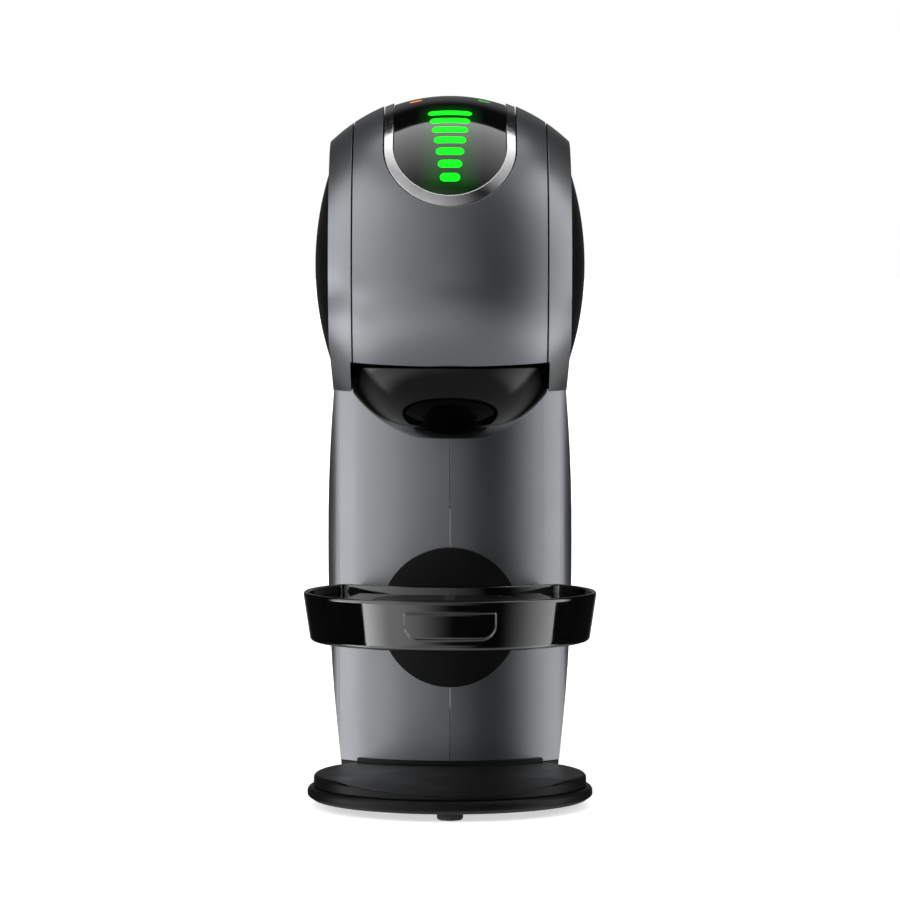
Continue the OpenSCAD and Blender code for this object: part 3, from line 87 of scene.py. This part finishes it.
class Finish:
    """A material with one Principled shader, and short ways to add patterns to it."""

    def __init__(self, name, colour, roughness, metallic=0.0, **more):
        self.material = bpy.data.materials.new(name)
        self.material.use_nodes = True
        self.tree = self.material.node_tree
        self.shader = self.tree.nodes["Principled BSDF"]
        self.set("Base Color", (*colour, 1.0))
        self.set("Roughness", roughness)
        self.set("Metallic", metallic)
        for key, value in more.items():
            self.set(key.replace("_", " "), value)
        self.place = self.node("ShaderNodeTexCoord").outputs["Object"]

    def set(self, socket, value):
        self.shader.inputs[socket].default_value = value

    def node(self, kind, **values):
        made = self.tree.nodes.new(kind)
        for key, value in values.items():
            if hasattr(made, key):
                setattr(made, key, value)
            else:
                made.inputs[key].default_value = value
        return made

    def link(self, a, b):
        self.tree.links.new(a, b)

    def stretched(self, scale):
        """Object coordinates stretched by three factors, for streaks and brushing."""
        mapping = self.node("ShaderNodeMapping")
        mapping.inputs["Scale"].default_value = scale
        self.link(self.place, mapping.inputs["Vector"])
        return mapping.outputs["Vector"]

    def noise(self, per_metre, detail=3.0, roughness=0.5, stretch=None):
        """Noise with that many cells in a metre."""
        n = self.node("ShaderNodeTexNoise")
        n.inputs["Scale"].default_value = per_metre
        n.inputs["Detail"].default_value = detail
        n.inputs["Roughness"].default_value = roughness
        self.link(self.stretched(stretch) if stretch else self.place, n.inputs["Vector"])
        return n.outputs["Fac"]

    def cells(self, per_metre, feature="F1"):
        """Voronoi distance with that many cells in a metre."""
        n = self.node("ShaderNodeTexVoronoi")
        n.feature = feature
        n.inputs["Scale"].default_value = per_metre
        self.link(self.place, n.inputs["Vector"])
        return n.outputs["Distance"]

    def spread(self, fac, low, high, at_low=0.3, at_high=0.7):
        """A value that goes from low to high as fac goes between two marks."""
        n = self.node("ShaderNodeMapRange")
        n.inputs["From Min"].default_value = at_low
        n.inputs["From Max"].default_value = at_high
        n.inputs["To Min"].default_value = low
        n.inputs["To Max"].default_value = high
        self.link(fac, n.inputs["Value"])
        return n.outputs["Result"]

    def colours(self, fac, *stops):
        """A colour ramp through (position, colour) stops."""
        ramp = self.node("ShaderNodeValToRGB")
        elements = ramp.color_ramp.elements
        while len(elements) < len(stops):
            elements.new(0.5)
        for element, (position, colour) in zip(elements, stops):
            element.position = position
            element.color = (*colour, 1.0)
        self.link(fac, ramp.inputs["Fac"])
        return ramp.outputs["Color"]

    def paint(self, fac, *stops):
        self.link(self.colours(fac, *stops), self.shader.inputs["Base Color"])
        return self

    def worn(self, fac, low, high, at_low=0.3, at_high=0.7):
        """Roughness that wanders between two values."""
        self.link(self.spread(fac, low, high, at_low, at_high), self.shader.inputs["Roughness"])
        return self

    def bump(self, height, depth_mm, strength=1.0):
        """A height pattern on top of shading that rounds sharp edges."""
        rolled = self.node("ShaderNodeBevel", samples=4)
        rolled.inputs["Radius"].default_value = ROLLED_EDGE * MM
        n = self.node("ShaderNodeBump")
        n.inputs["Strength"].default_value = strength
        n.inputs["Distance"].default_value = depth_mm * MM
        self.link(height, n.inputs["Height"])
        self.link(rolled.outputs["Normal"], n.inputs["Normal"])
        self.link(n.outputs["Normal"], self.shader.inputs["Normal"])
        return self


def grey_lacquer():
    """Cool graphite lacquer: fine metal flakes under a satin clear coat."""
    f = Finish("graphite_lacquer", (0.165, 0.172, 0.182), 0.31, 0.84, Coat_Weight=0.12, Coat_Roughness=0.24)
    f.paint(f.noise(5200, 1.0), (0.25, (0.148, 0.154, 0.163)), (0.75, (0.180, 0.187, 0.197)))
    f.worn(f.noise(38, 3.0), 0.285, 0.335)
    f.bump(f.noise(3600, 2.0), 0.004, 0.5)
    return f.material


def satin_black():
    """Moulded black plastic with a fine eroded grain."""
    f = Finish("satin_black", (0.006, 0.006, 0.0062), 0.36, 0.0, Specular_IOR_Level=0.12)
    f.paint(f.noise(60, 4.0), (0.3, (0.0035, 0.0035, 0.0037)), (0.7, (0.006, 0.006, 0.0062)))
    f.worn(f.noise(45, 4.0), 0.31, 0.42)
    f.bump(f.noise(2600, 3.0, 0.65), 0.02, 0.55)
    return f.material


def gloss_black(name="gloss_black", gloss=1.0):
    """Polished piano black, with the slight waviness of a moulding."""
    f = Finish(name, (0.0008, 0.0008, 0.0009), 0.05, 0.0, Specular_IOR_Level=gloss)
    f.worn(f.noise(120, 5.0, 0.6), 0.03, 0.075)
    f.bump(f.noise(35, 1.0), 0.02, 0.10)
    return f.material


def matt_black():
    """Unpainted dark plastic of the inner mouldings."""
    f = Finish("matt_black", (0.007, 0.007, 0.0073), 0.5, 0.0, Specular_IOR_Level=0.22)
    f.paint(f.noise(90, 4.0), (0.3, (0.0055, 0.0055, 0.0058)), (0.7, (0.009, 0.009, 0.0093)))
    f.worn(f.noise(80, 4.0), 0.48, 0.62)
    f.bump(f.noise(1800, 3.0), 0.03, 0.5)
    return f.material


def pale_plastic():
    """Natural nylon of the pump and the flow meter."""
    f = Finish("pale_plastic", (0.72, 0.71, 0.66), 0.42, Subsurface_Weight=0.08)
    f.shader.inputs["Subsurface Scale"].default_value = 0.002
    f.paint(f.noise(70, 4.0), (0.3, (0.69, 0.68, 0.63)), (0.7, (0.75, 0.74, 0.69)))
    f.worn(f.noise(120, 3.0), 0.36, 0.48)
    f.bump(f.noise(1400, 2.0), 0.015, 0.4)
    return f.material


def panel_glass():
    """Black touch glass, its roughness wandering a little as from handling, and a painted green glow where the bars
    shine through it:
    emission, full within 5.5 mm of the middle plane, gone at 12.5 mm, ahead of y = -0.108 m and above z = 0.2385 m."""
    f = Finish("panel_glass", (0.0008, 0.0008, 0.001), 0.05, 0.0, Specular_IOR_Level=1.0)
    f.worn(f.noise(55, 6.0, 0.65), 0.04, 0.085)
    place = f.node("ShaderNodeSeparateXYZ")
    f.link(f.place, place.inputs[0])
    near = f.node("ShaderNodeMath", operation="ABSOLUTE")
    f.link(place.outputs["X"], near.inputs[0])
    across = f.spread(near.outputs[0], 1.0, 0.0, 0.0055, 0.0125)
    ahead = f.spread(place.outputs["Y"], 0.0, 1.0, -0.100, -0.108)
    below = f.spread(place.outputs["Z"], 0.0, 1.0, 0.2305, 0.2385)
    # painted green glow: emission on the glass beside the bars, standing in for their light shining through
    painted_glow_mask = f.node("ShaderNodeMath", operation="MULTIPLY")
    f.link(across, painted_glow_mask.inputs[0])
    f.link(ahead, painted_glow_mask.inputs[1])
    soft = f.node("ShaderNodeMath", operation="MULTIPLY")
    f.link(painted_glow_mask.outputs[0], soft.inputs[0])
    f.link(below, soft.inputs[1])
    # strength of the painted green glow, 0.055 at most
    f.link(f.spread(soft.outputs[0], 0.0, 0.055, 0.0, 1.0), f.shader.inputs["Emission Strength"])
    f.set("Emission Color", (0.02, 1.0, 0.04, 1.0))
    return f.material


def lit(name, deep, bright, glow):
    """A light window: brighter core, deeper colour towards its mottled edge."""
    f = Finish(name, deep, 0.4, 0.0, Specular_IOR_Level=0.1)
    ramp = f.colours(f.noise(420, 2.0), (0.25, deep), (0.75, bright))
    f.link(ramp, f.shader.inputs["Base Color"])
    f.link(ramp, f.shader.inputs["Emission Color"])
    f.set("Emission Strength", glow)
    return f.material


def two_lit(name, left, right, glow):
    """Two light windows of one node: one pair of tones left of the middle plane and another right of it."""
    f = Finish(name, left[0], 0.3)
    place = f.node("ShaderNodeSeparateXYZ")
    f.link(f.place, place.inputs[0])
    side = f.spread(place.outputs["X"], 0.0, 1.0, -0.001, 0.001)
    mottle = f.noise(420, 2.0)
    mix = f.node("ShaderNodeMix", data_type="RGBA")
    f.link(side, mix.inputs["Factor"])
    f.link(f.colours(mottle, (0.25, left[0]), (0.75, left[1])), mix.inputs[6])
    f.link(f.colours(mottle, (0.25, right[0]), (0.75, right[1])), mix.inputs[7])
    f.link(mix.outputs[2], f.shader.inputs["Base Color"])
    f.link(mix.outputs[2], f.shader.inputs["Emission Color"])
    f.set("Emission Strength", glow)
    return f.material


def chrome():
    """Satin chrome plating with fine polishing marks."""
    f = Finish("satin_chrome", (0.62, 0.62, 0.63), 0.16, 1.0)
    f.paint(f.noise(140, 4.0), (0.3, (0.59, 0.59, 0.60)), (0.7, (0.65, 0.65, 0.66)))
    f.worn(f.noise(900, 3.0, 0.6, (0.06, 1.0, 1.0)), 0.09, 0.20)
    f.bump(f.noise(2400, 2.0, 0.5, (0.04, 1.0, 1.0)), 0.004, 0.35)
    return f.material


def steel(name, tone, low, high, grain):
    """Rolled or turned steel: streaks along one direction."""
    f = Finish(name, (tone, tone, tone * 1.01), low, 1.0)
    f.paint(f.noise(260, 4.0, 0.6, grain), (0.3, (tone * 0.9,) * 3), (0.7, (tone * 1.06,) * 3))
    f.worn(f.noise(700, 4.0, 0.6, grain), low, high)
    f.bump(f.noise(2200, 2.0, 0.5, grain), 0.006, 0.3)
    return f.material


def cast_alloy():
    """Die-cast aluminium, slightly blotched and pitted."""
    f = Finish("cast_alloy", (0.55, 0.55, 0.56), 0.42, 1.0)
    f.paint(f.noise(85, 5.0, 0.6), (0.3, (0.47, 0.47, 0.48)), (0.7, (0.60, 0.60, 0.61)))
    f.worn(f.noise(160, 5.0), 0.34, 0.55)
    f.bump(f.noise(1100, 4.0, 0.6), 0.05, 0.6)
    return f.material


def rubber():
    """Black rubber with dust-grey speckle."""
    f = Finish("foot_rubber", (0.018, 0.018, 0.018), 0.75)
    f.paint(f.noise(400, 5.0), (0.35, (0.013, 0.013, 0.013)), (0.75, (0.032, 0.032, 0.031)))
    f.worn(f.noise(150, 4.0), 0.66, 0.84)
    f.bump(f.noise(2300, 3.0), 0.04, 0.6)
    return f.material


def silicone(name, low, high, through):
    """Moulded silicone: soft sheen, mottled and a little translucent."""
    f = Finish(name, low, 0.45, Subsurface_Weight=through)
    f.shader.inputs["Subsurface Scale"].default_value = 0.0015
    f.paint(f.noise(150, 4.0), (0.3, low), (0.7, high))
    f.worn(f.noise(220, 3.0), 0.38, 0.55)
    f.bump(f.noise(900, 3.0), 0.02, 0.5)
    return f.material


def smoked_clear():
    """Smoked, clear moulding of the water tank."""
    f = Finish("smoked_clear", (0.30, 0.315, 0.33), 0.06, 0.0, Transmission_Weight=0.92, IOR=1.49)
    f.worn(f.noise(90, 4.0), 0.04, 0.11)
    f.bump(f.noise(60, 2.0), 0.02, 0.15)
    return f.material


def coil_lacquer():
    """Lacquered sheet stack of the pump's coil."""
    f = Finish("coil_lacquer", (0.13, 0.12, 0.11), 0.4, 0.75)
    f.paint(f.noise(90, 4.0, 0.5, (1.0, 1.0, 14.0)), (0.3, (0.10, 0.09, 0.085)), (0.7, (0.17, 0.155, 0.14)))
    f.worn(f.noise(120, 4.0), 0.32, 0.52)
    f.bump(f.noise(60, 1.0, 0.5, (0.2, 0.2, 26.0)), 0.05, 0.5)
    return f.material


def board_mask():
    """Green solder mask with copper tracks under it."""
    f = Finish("board_mask", (0.012, 0.12, 0.05), 0.3)
    f.paint(f.cells(420, "F1"), (0.25, (0.02, 0.19, 0.08)), (0.45, (0.010, 0.10, 0.042)))
    f.worn(f.noise(300, 3.0), 0.24, 0.42)
    f.bump(f.cells(420, "F1"), 0.03, 0.4)
    return f.material


finish_of = {
    "shell_grey": grey_lacquer(),
    "black_satin": satin_black(),
    "black_gloss": gloss_black(),
    "dark_plastic": matt_black(),
    "pale_plastic": pale_plastic(),
    "display_glass": panel_glass(),
    "green_light": lit("green_light", (0.0, 0.72, 0.003), (0.002, 0.90, 0.009), 1.0),
    "amber_light": two_lit("status_light", ((0.62, 0.12, 0.015), (0.85, 0.22, 0.03)),
                           ((0.01, 0.30, 0.02), (0.02, 0.42, 0.04)), 0.8),
    "chrome_trim": chrome(),
    "steel": steel("turned_steel", 0.56, 0.20, 0.34, (1.0, 1.0, 0.05)),
    "cast_aluminium": cast_alloy(),
    "foot_rubber": rubber(),
    "silicone": silicone("red_silicone", (0.42, 0.075, 0.035), (0.52, 0.11, 0.05), 0.1),
    "clear_silicone": silicone("milky_silicone", (0.66, 0.66, 0.64), (0.76, 0.76, 0.74), 0.3),
    "tank_smoke": smoked_clear(),
    "coil_steel": coil_lacquer(),
    "board_green": board_mask(),
}
deep_gloss = gloss_black("deep_gloss", 0.17)            # the pod holder's, which mirrors less than the tray
slot_of = {part["node"]: part["material_slot"] for part in frame["record"]["subparts"]}
for name, thing in frame["nodes"].items():
    for place in thing.material_slots:
        place.material = finish_of[slot_of[name]]


# ---------------------------------------------------------------- mouldings with rounded edges
HARD_ANGLE = 30.0                                       # degrees between two faces from which an edge is rolled
THIN_FACE = 0.09                                        # millimetres, faces lower than this have no own normal
OPEN_CHAIN = 12                                         # rounds of dropping hard edges that end in the open
MERGE, SHORTEST, FLAT, MOST_CORNERS = 0.06, 0.1, 0.7, 40


def hard_edges(mesh):
    """1 for each edge where two faces meet at more than the hard angle, else 0. A thin face takes the normal of
    its neighbour over its longest edge, and chains that end in the open are dropped."""
    faces, loops, edges = len(mesh.polygons), len(mesh.loops), len(mesh.edges)
    normal = np.empty(faces * 3)
    mesh.polygons.foreach_get("normal", normal)
    normal = normal.reshape(-1, 3)
    area, count = np.empty(faces), np.empty(faces, int)
    mesh.polygons.foreach_get("area", area)
    mesh.polygons.foreach_get("loop_total", count)
    edge_of = np.empty(loops, int)
    mesh.loops.foreach_get("edge_index", edge_of)
    face_of = np.repeat(np.arange(faces), count)
    ends = np.empty(edges * 2, int)
    mesh.edges.foreach_get("vertices", ends)
    ends = ends.reshape(-1, 2)
    place = np.empty(len(mesh.vertices) * 3)
    mesh.vertices.foreach_get("co", place)
    place = place.reshape(-1, 3)
    length = np.linalg.norm(place[ends[:, 0]] - place[ends[:, 1]], axis=1)
    sides = face_of[np.argsort(edge_of, kind="stable")].reshape(-1, 2)
    order = np.lexsort((length[edge_of], face_of))
    longest = edge_of[order][np.cumsum(count) - 1]
    other = np.where(sides[longest, 0] == np.arange(faces), sides[longest, 1], sides[longest, 0])
    sliver = 2 * area / length[longest] < THIN_FACE * MM
    trusted = np.where(sliver[:, None], normal[other], normal)
    hard = (trusted[sides[:, 0]] * trusted[sides[:, 1]]).sum(1) < math.cos(math.radians(HARD_ANGLE))
    for _ in range(OPEN_CHAIN):
        degree = np.bincount(ends[hard].ravel(), minlength=len(place))
        hard &= (degree[ends] > 1).all(1)
    return hard.astype(np.float32)


def moulded(name, radius):
    """A closed copy of a frame node whose hard edges are rolled over by a small radius, in millimetres. Its
    triangles are merged to flat faces first, and faces with many corners, which can hold holes, are cut again."""
    source = frame["nodes"][name]
    work = bmesh.new()
    work.from_mesh(source.data)
    bmesh.ops.remove_doubles(work, verts=work.verts, dist=MERGE * MM)
    bmesh.ops.dissolve_degenerate(work, dist=SHORTEST * MM, edges=work.edges)
    bmesh.ops.dissolve_limit(work, angle_limit=math.radians(FLAT), verts=work.verts, edges=work.edges,
                             use_dissolve_boundaries=False)
    bmesh.ops.triangulate(work, faces=[face for face in work.faces if len(face.verts) > MOST_CORNERS])
    work.verts.index_update()
    corners = [v.co[:] for v in work.verts]
    faces = [[v.index for v in face.verts] for face in work.faces]
    work.free()
    mesh = bpy.data.meshes.new(name + "_moulding")
    mesh.from_pydata(corners, [], faces)
    mesh.update()
    mesh.shade_smooth()
    weight = hard_edges(mesh)
    mesh.attributes.new("bevel_weight_edge", "FLOAT", "EDGE").data.foreach_set("value", weight)
    mesh.attributes.new("sharp_edge", "BOOLEAN", "EDGE").data.foreach_set("value", weight > 0)
    mesh.materials.append(deep_gloss if name == "pod_holder" else finish_of[slot_of[name]])
    thing = bpy.data.objects.new(name + "_moulding", mesh)
    scene.collection.objects.link(thing)
    roll = thing.modifiers.new("rolled_edges", "BEVEL")
    roll.limit_method = "WEIGHT"
    roll.width = radius * MM
    roll.segments = 3
    roll.use_clamp_overlap = False
    even = thing.modifiers.new("even_shading", "WEIGHTED_NORMAL")
    even.mode = "FACE_AREA"
    even.weight = 50
    even.keep_sharp = False
    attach(thing, source["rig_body"])
    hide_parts(name)
    return thing


EDGE_RADII = {                                          # millimetres
    "rear_cover": 0.5, "side_disc_left": 0.4, "side_disc_right": 0.4, "pod_holder": 0.4, "drip_grid": 0.3,
    "base_plate": 0.5, "base_cover": 0.5, "rubber_feet": 0.4, "water_tank": 0.7, "tank_lid": 0.7,
    "power_button": 0.4, "cord_bush": 0.4, "lid_pin": 0.2, "tank_filter": 0.2, "lock_cams": 0.3,
    "injector_carrier": 0.4, "chassis": 0.4,
}
for name, radius in EDGE_RADII.items():
    moulded(name, radius)


# ---------------------------------------------------------------- drip tray
def smooth_step(value, low, high):
    """0 below low, 1 above high, and a smooth rise between them."""
    t = np.clip((value - low) / (high - low), 0.0, 1.0)
    return t * t * (3 - 2 * t)


def closed_rows(name, points, material_slot, body, replaced=()):
    """A closed surface from rows of points, millimetres, shape (rows, columns, 3): columns close on themselves,
    and the first and last rows shrink to one pole each."""
    rows, columns = points.shape[:2]
    inner = points[1:-1].reshape(-1, 3)
    place = np.vstack([points[0].mean(0), inner, points[-1].mean(0)]) * MM
    a = 1 + np.arange(rows - 3)[:, None] * columns + np.arange(columns)
    b = 1 + np.arange(rows - 3)[:, None] * columns + (np.arange(columns) + 1) % columns
    quads = np.stack([a, b, b + columns, a + columns], -1).reshape(-1, 4)
    first = np.stack([np.zeros(columns, int), b[0], a[0]], -1)
    last = np.stack([np.full(columns, len(place) - 1), a[-1] + columns, b[-1] + columns], -1)
    mesh = bpy.data.meshes.new(name)
    mesh.from_pydata(place.tolist(), [], quads.tolist() + first.tolist() + last.tolist())
    mesh.update()
    mesh.shade_smooth()
    thing = bpy.data.objects.new(name, mesh)
    scene.collection.objects.link(thing)
    mesh.materials.append(finish_of[material_slot])
    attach(thing, body)
    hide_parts(*replaced)
    return thing


TRAY_CENTRE, TRAY_RADIUS = -88.0, 56.0                  # y of the round front's centre, and its radius
BACK_CENTRE, BACK_RADIUS = -3.0, 62.8                   # the same of the hollow back, which follows the column
TRAY_BOTTOM, TRAY_RIM = 63.4, 82.2                      # heights
TRAY_FLOOR = 65.65                                      # height of the floor inside
TRAY_POLE = -92.0                                       # y of the point that the bottom and the floor shrink to
TRAY_CORNER = 5.0                                       # radius of the two corners between front and back
PAD_HALF_WIDTH, PAD_LOW, PAD_HIGH, PAD_CORNER, PAD_PROUD = 17.2, 67.8, 77.9, 5.6, 0.9


def tray_outline():
    """Points and outward normals of the tray's plan, anticlockwise: the round front, a corner that touches both
    arcs from inside, the hollow back that follows the column, and the other corner. The points lie closer where
    the grip pad is."""
    apart = BACK_CENTRE - TRAY_CENTRE
    to_front, to_back = TRAY_RADIUS - TRAY_CORNER, BACK_RADIUS + TRAY_CORNER
    along = (to_front**2 - to_back**2 + apart**2) / (2 * apart)
    middle = np.array([math.sqrt(to_front**2 - along**2), TRAY_CENTRE + along])
    front_turn = math.atan2(middle[1] - TRAY_CENTRE, middle[0])
    back_turn = math.atan2(middle[1] - BACK_CENTRE, middle[0])
    fine = 17.5 / TRAY_RADIUS
    turn = np.concatenate([np.linspace(-math.pi - front_turn, -math.pi / 2 - fine - 0.02, 110),
                           np.linspace(-math.pi / 2 - fine - 0.015, -math.pi / 2 + fine + 0.015, 150),
                           np.linspace(-math.pi / 2 + fine + 0.02, front_turn, 110)])
    out = np.stack([np.cos(turn), np.sin(turn)], -1)
    front = np.array([0, TRAY_CENTRE]) + TRAY_RADIUS * out
    bend = np.linspace(front_turn, back_turn + math.pi, 26)[1:-1]
    bend_out = np.stack([np.cos(bend), np.sin(bend)], -1)
    right = middle + TRAY_CORNER * bend_out
    sweep = np.linspace(back_turn, -math.pi - back_turn, 120)
    hollow_out = -np.stack([np.cos(sweep), np.sin(sweep)], -1)
    hollow = np.array([0, BACK_CENTRE]) - BACK_RADIUS * hollow_out
    flip = np.array([-1, 1])
    points = np.vstack([front, right, hollow, (right * flip)[::-1]])
    normals = np.vstack([out, bend_out, hollow_out, (bend_out * flip)[::-1]])
    return points, normals


def drip_tray():
    """The wall's section, as inset and height, carried round the outline: rolled foot, wall that leans out, round
    rim, inner wall and floor. A bare grip pad stands proud of the front, with round lower corners."""
    outline, normal = tray_outline()
    turn = np.linspace(0, math.pi / 2, 8)
    wall = np.linspace(0, 1, 44)
    rim = np.linspace(0, math.pi, 13)
    low = TRAY_BOTTOM
    section = np.vstack([
        [[12.0, low + 0.4], [5.2, low + 0.02]],
        np.stack([4.2 - 1.7 * np.sin(turn), low + 1.7 - 1.7 * np.cos(turn)], -1),
        np.stack([2.4 - 2.3 * wall, low + 2.2 + (TRAY_RIM - 1.2 - low - 2.2) * wall], -1),
        np.stack([1.0 - 0.9 * np.cos(rim), TRAY_RIM - 0.9 + 0.9 * np.sin(rim)], -1),
        [[2.05, 79.5], [2.3, 76.0], [3.0, 67.6], [3.3, 66.6], [4.0, 65.9], [5.0, 65.7], [14.0, TRAY_FLOOR]],
    ])
    inset, height = section[:, 0], section[:, 1]
    shrink = smooth_step(inset, 4.9, 14.0)[:, None, None]
    flat = outline[None] - np.minimum(inset, 4.9)[:, None, None] * normal[None]
    centre = np.array([0, TRAY_POLE])
    flat = centre + (flat - centre) * (1 - 0.45 * shrink)
    x = flat[..., 0]
    z = np.broadcast_to(height[:, None], x.shape)
    corner = np.hypot(np.maximum(np.abs(x) - 11.5, 0), np.maximum(PAD_LOW + PAD_CORNER - z, 0))
    side = smooth_step(PAD_HALF_WIDTH - np.abs(x), -0.1, 0.5)
    foot = smooth_step(PAD_CORNER - corner, -0.1, 0.5)
    top = smooth_step(PAD_HIGH - z, -0.1, 0.6)
    outer_rows = 2 + len(turn) + len(wall)
    outer = (np.arange(len(section)) < outer_rows)[:, None] & (flat[..., 1] < TRAY_CENTRE - 30)
    proud = PAD_PROUD * side * foot * top * outer
    flat = flat + proud[..., None] * normal[None]
    points = np.concatenate([flat, z[..., None]], -1)
    pole = np.array([0, centre[1], 0.0])
    bottom = np.broadcast_to(pole + [0, 0, low + 0.4], (1, len(outline), 3))
    floor_in = np.broadcast_to(pole + [0, 0, TRAY_FLOOR], (1, len(outline), 3))
    return closed_rows("drip_tray_body", np.vstack([bottom, points, floor_in]), "black_gloss", "tray", ["drip_tray"])


drip_tray()

# ---------------------------------------------------------------- studio
def sheet_object(name, corners, material):
    """A flat stage piece through four corners, in metres."""
    mesh = bpy.data.meshes.new(name)
    mesh.from_pydata(corners, [], [(0, 1, 2, 3)])
    mesh.uv_layers.new(name="UVMap")
    mesh.uv_layers[0].data.foreach_set("uv", [0, 0, 1, 0, 1, 1, 0, 1])
    mesh.materials.append(material)
    thing = bpy.data.objects.new(name, mesh)
    scene.collection.objects.link(thing)
    return thing


class Studio:
    """The world: soft boxes at the left, the right and overhead, dark flags between them."""

    def __init__(self):
        world = bpy.data.worlds.new("studio_world")
        scene.world = world
        world.use_nodes = True
        self.tree = world.node_tree
        way = self.tree.nodes.new("ShaderNodeSeparateXYZ")
        self.link(self.tree.nodes.new("ShaderNodeTexCoord").outputs["Generated"], way.inputs[0])
        self.x, self.y, self.z = way.outputs

    def link(self, a, b):
        self.tree.links.new(a, b)

    def math(self, kind, a, b=0.0):
        n = self.tree.nodes.new("ShaderNodeMath")
        n.operation = kind
        for socket, value in zip(n.inputs, (a, b)):
            if isinstance(value, (int, float)):
                socket.default_value = value
            else:
                self.link(value, socket)
        return n.outputs[0]

    def ramp(self, value, from_a, from_b, to_a=0.0, to_b=1.0, soft=True):
        n = self.tree.nodes.new("ShaderNodeMapRange")
        n.interpolation_type = "SMOOTHSTEP" if soft else "LINEAR"
        for key, number in (("From Min", from_a), ("From Max", from_b), ("To Min", to_a), ("To Max", to_b)):
            n.inputs[key].default_value = number
        self.link(value, n.inputs["Value"])
        return n.outputs["Result"]

    def product(self, *values):
        out = values[0]
        for value in values[1:]:
            out = self.math("MULTIPLY", value, out)
        return out

    def total(self, *values):
        out = values[0]
        for value in values[1:]:
            out = self.math("ADD", out, value)
        return out


RIGHT_POWER, TOP_POWER, GROUND_POWER, BEHIND_POWER, FILL_POWER = 3.2, 2.1, 0.6, 0.15, 0.45
LEAST_MIRRORED = 0.012                                  # what a mirror sees between the boxes


def light_studio():
    """Strength by direction. The left box reaches from the right of the front to the side, the right one from
    azimuth 40 degrees; in a band of rays that fall a little both stop at a sharp rear edge, elsewhere they fade
    further back. The overhead box grows from 54 degrees above the front to its sharp edge behind the zenith."""
    s = Studio()
    back = s.math("MULTIPLY", s.y, -1.0)
    azimuth = s.math("ARCTAN2", s.x, back)              # 0 in front, positive to the right
    rise = s.math("ARCSINE", s.z)
    over = s.math("ARCTAN2", s.z, back)                 # 0 in front, 90 degrees at the zenith
    rad = math.radians
    tall = s.product(s.ramp(rise, rad(-52), rad(-40)), s.ramp(rise, rad(58), rad(40)))
    low = s.product(s.ramp(rise, rad(-12), rad(-13.5)), s.ramp(rise, rad(-24), rad(-22.5)))    # the falling band
    beside = s.math("SUBTRACT", s.product(s.ramp(rise, rad(-3), rad(-6)), s.ramp(rise, rad(-33), rad(-30))), low)
    high = s.math("SUBTRACT", 1.0, low)
    left_low = s.ramp(azimuth, rad(-75.2), rad(-74))
    left_high = s.ramp(azimuth, rad(-112), rad(-98))
    right_low = s.ramp(azimuth, rad(94.2), rad(93))
    right_high = s.ramp(azimuth, rad(112), rad(98))
    left_falling = s.total(s.ramp(azimuth, rad(5), rad(-48), 0.0, 1.5), s.ramp(azimuth, rad(-48), rad(-84), 0.0, 4.0))
    left_rising = s.total(s.ramp(azimuth, rad(26), rad(-36), 0.0, 1.0, False),
                          s.ramp(azimuth, rad(-34), rad(-82), 0.0, 1.5, False))
    left_banded, left_free = s.product(left_falling, left_low), s.product(left_rising, left_high)
    made_good = s.product(beside, s.math("SUBTRACT", left_free, left_banded), 0.8)      # keeps blurred mirrors even
    left = s.product(tall, s.total(s.product(left_banded, low), s.product(left_free, high), made_good))
    right = s.product(tall, s.ramp(azimuth, rad(40), rad(110), 0.0, RIGHT_POWER),
                      s.total(s.product(right_low, low), s.product(right_high, high)))
    middle = s.ramp(s.math("ABSOLUTE", s.x), 0.62, 0.45)
    top = s.product(middle, s.ramp(over, rad(54), rad(114), 0.0, TOP_POWER, False), s.ramp(over, rad(116.5), rad(115)))
    ground = s.ramp(rise, rad(-24), rad(-40), 0.0, GROUND_POWER)
    behind = s.product(BEHIND_POWER, s.ramp(s.math("ABSOLUTE", azimuth), rad(158), rad(168)),
                       s.ramp(rise, rad(40), rad(25)))
    boxes = s.total(left, right, top)
    path = s.tree.nodes.new("ShaderNodeLightPath")
    mirrored = s.total(boxes, ground, behind, LEAST_MIRRORED)
    fill = s.total(boxes, FILL_POWER)
    glossy = path.outputs["Is Glossy Ray"]
    lit_by = s.total(s.product(mirrored, glossy), s.product(fill, s.math("SUBTRACT", 1.0, glossy)))
    plain_view = s.math("MAXIMUM", path.outputs["Is Camera Ray"], path.outputs["Is Transmission Ray"])
    background = s.tree.nodes["Background"]
    background.inputs["Color"].default_value = (1.0, 1.0, 1.0, 1.0)
    s.link(s.total(s.product(lit_by, s.math("SUBTRACT", 1.0, plain_view)), plain_view), background.inputs["Strength"])



FLOOR_GLOW = 0.58


def seamless_floor():
    """A pale floor that is just white to the camera where no shadow falls on it."""
    m = bpy.data.materials.new("pale_floor")
    m.use_nodes = True
    t = m.node_tree
    paper = t.nodes["Principled BSDF"]
    paper.inputs["Base Color"].default_value = (0.80, 0.80, 0.80, 1.0)
    paper.inputs["Roughness"].default_value = 1.0
    paper.inputs["Specular IOR Level"].default_value = 0.0
    glow = t.nodes.new("ShaderNodeEmission")
    glow.inputs["Color"].default_value = (1.0, 1.0, 1.0, 1.0)
    path = t.nodes.new("ShaderNodeLightPath")
    scale = t.nodes.new("ShaderNodeMath")
    scale.operation = "MULTIPLY"
    scale.inputs[1].default_value = FLOOR_GLOW
    t.links.new(path.outputs["Is Camera Ray"], scale.inputs[0])
    t.links.new(scale.outputs[0], glow.inputs["Strength"])
    both = t.nodes.new("ShaderNodeAddShader")
    t.links.new(paper.outputs[0], both.inputs[0])
    t.links.new(glow.outputs[0], both.inputs[1])
    t.links.new(both.outputs[0], t.nodes["Material Output"].inputs["Surface"])
    return m


FLOOR_CORNERS = [(-30, -20, 0), (30, -20, 0), (30, 40, 0), (-30, 40, 0)]
floor = sheet_object("studio_floor", FLOOR_CORNERS, seamless_floor())
floor.visible_glossy = False
light_studio()
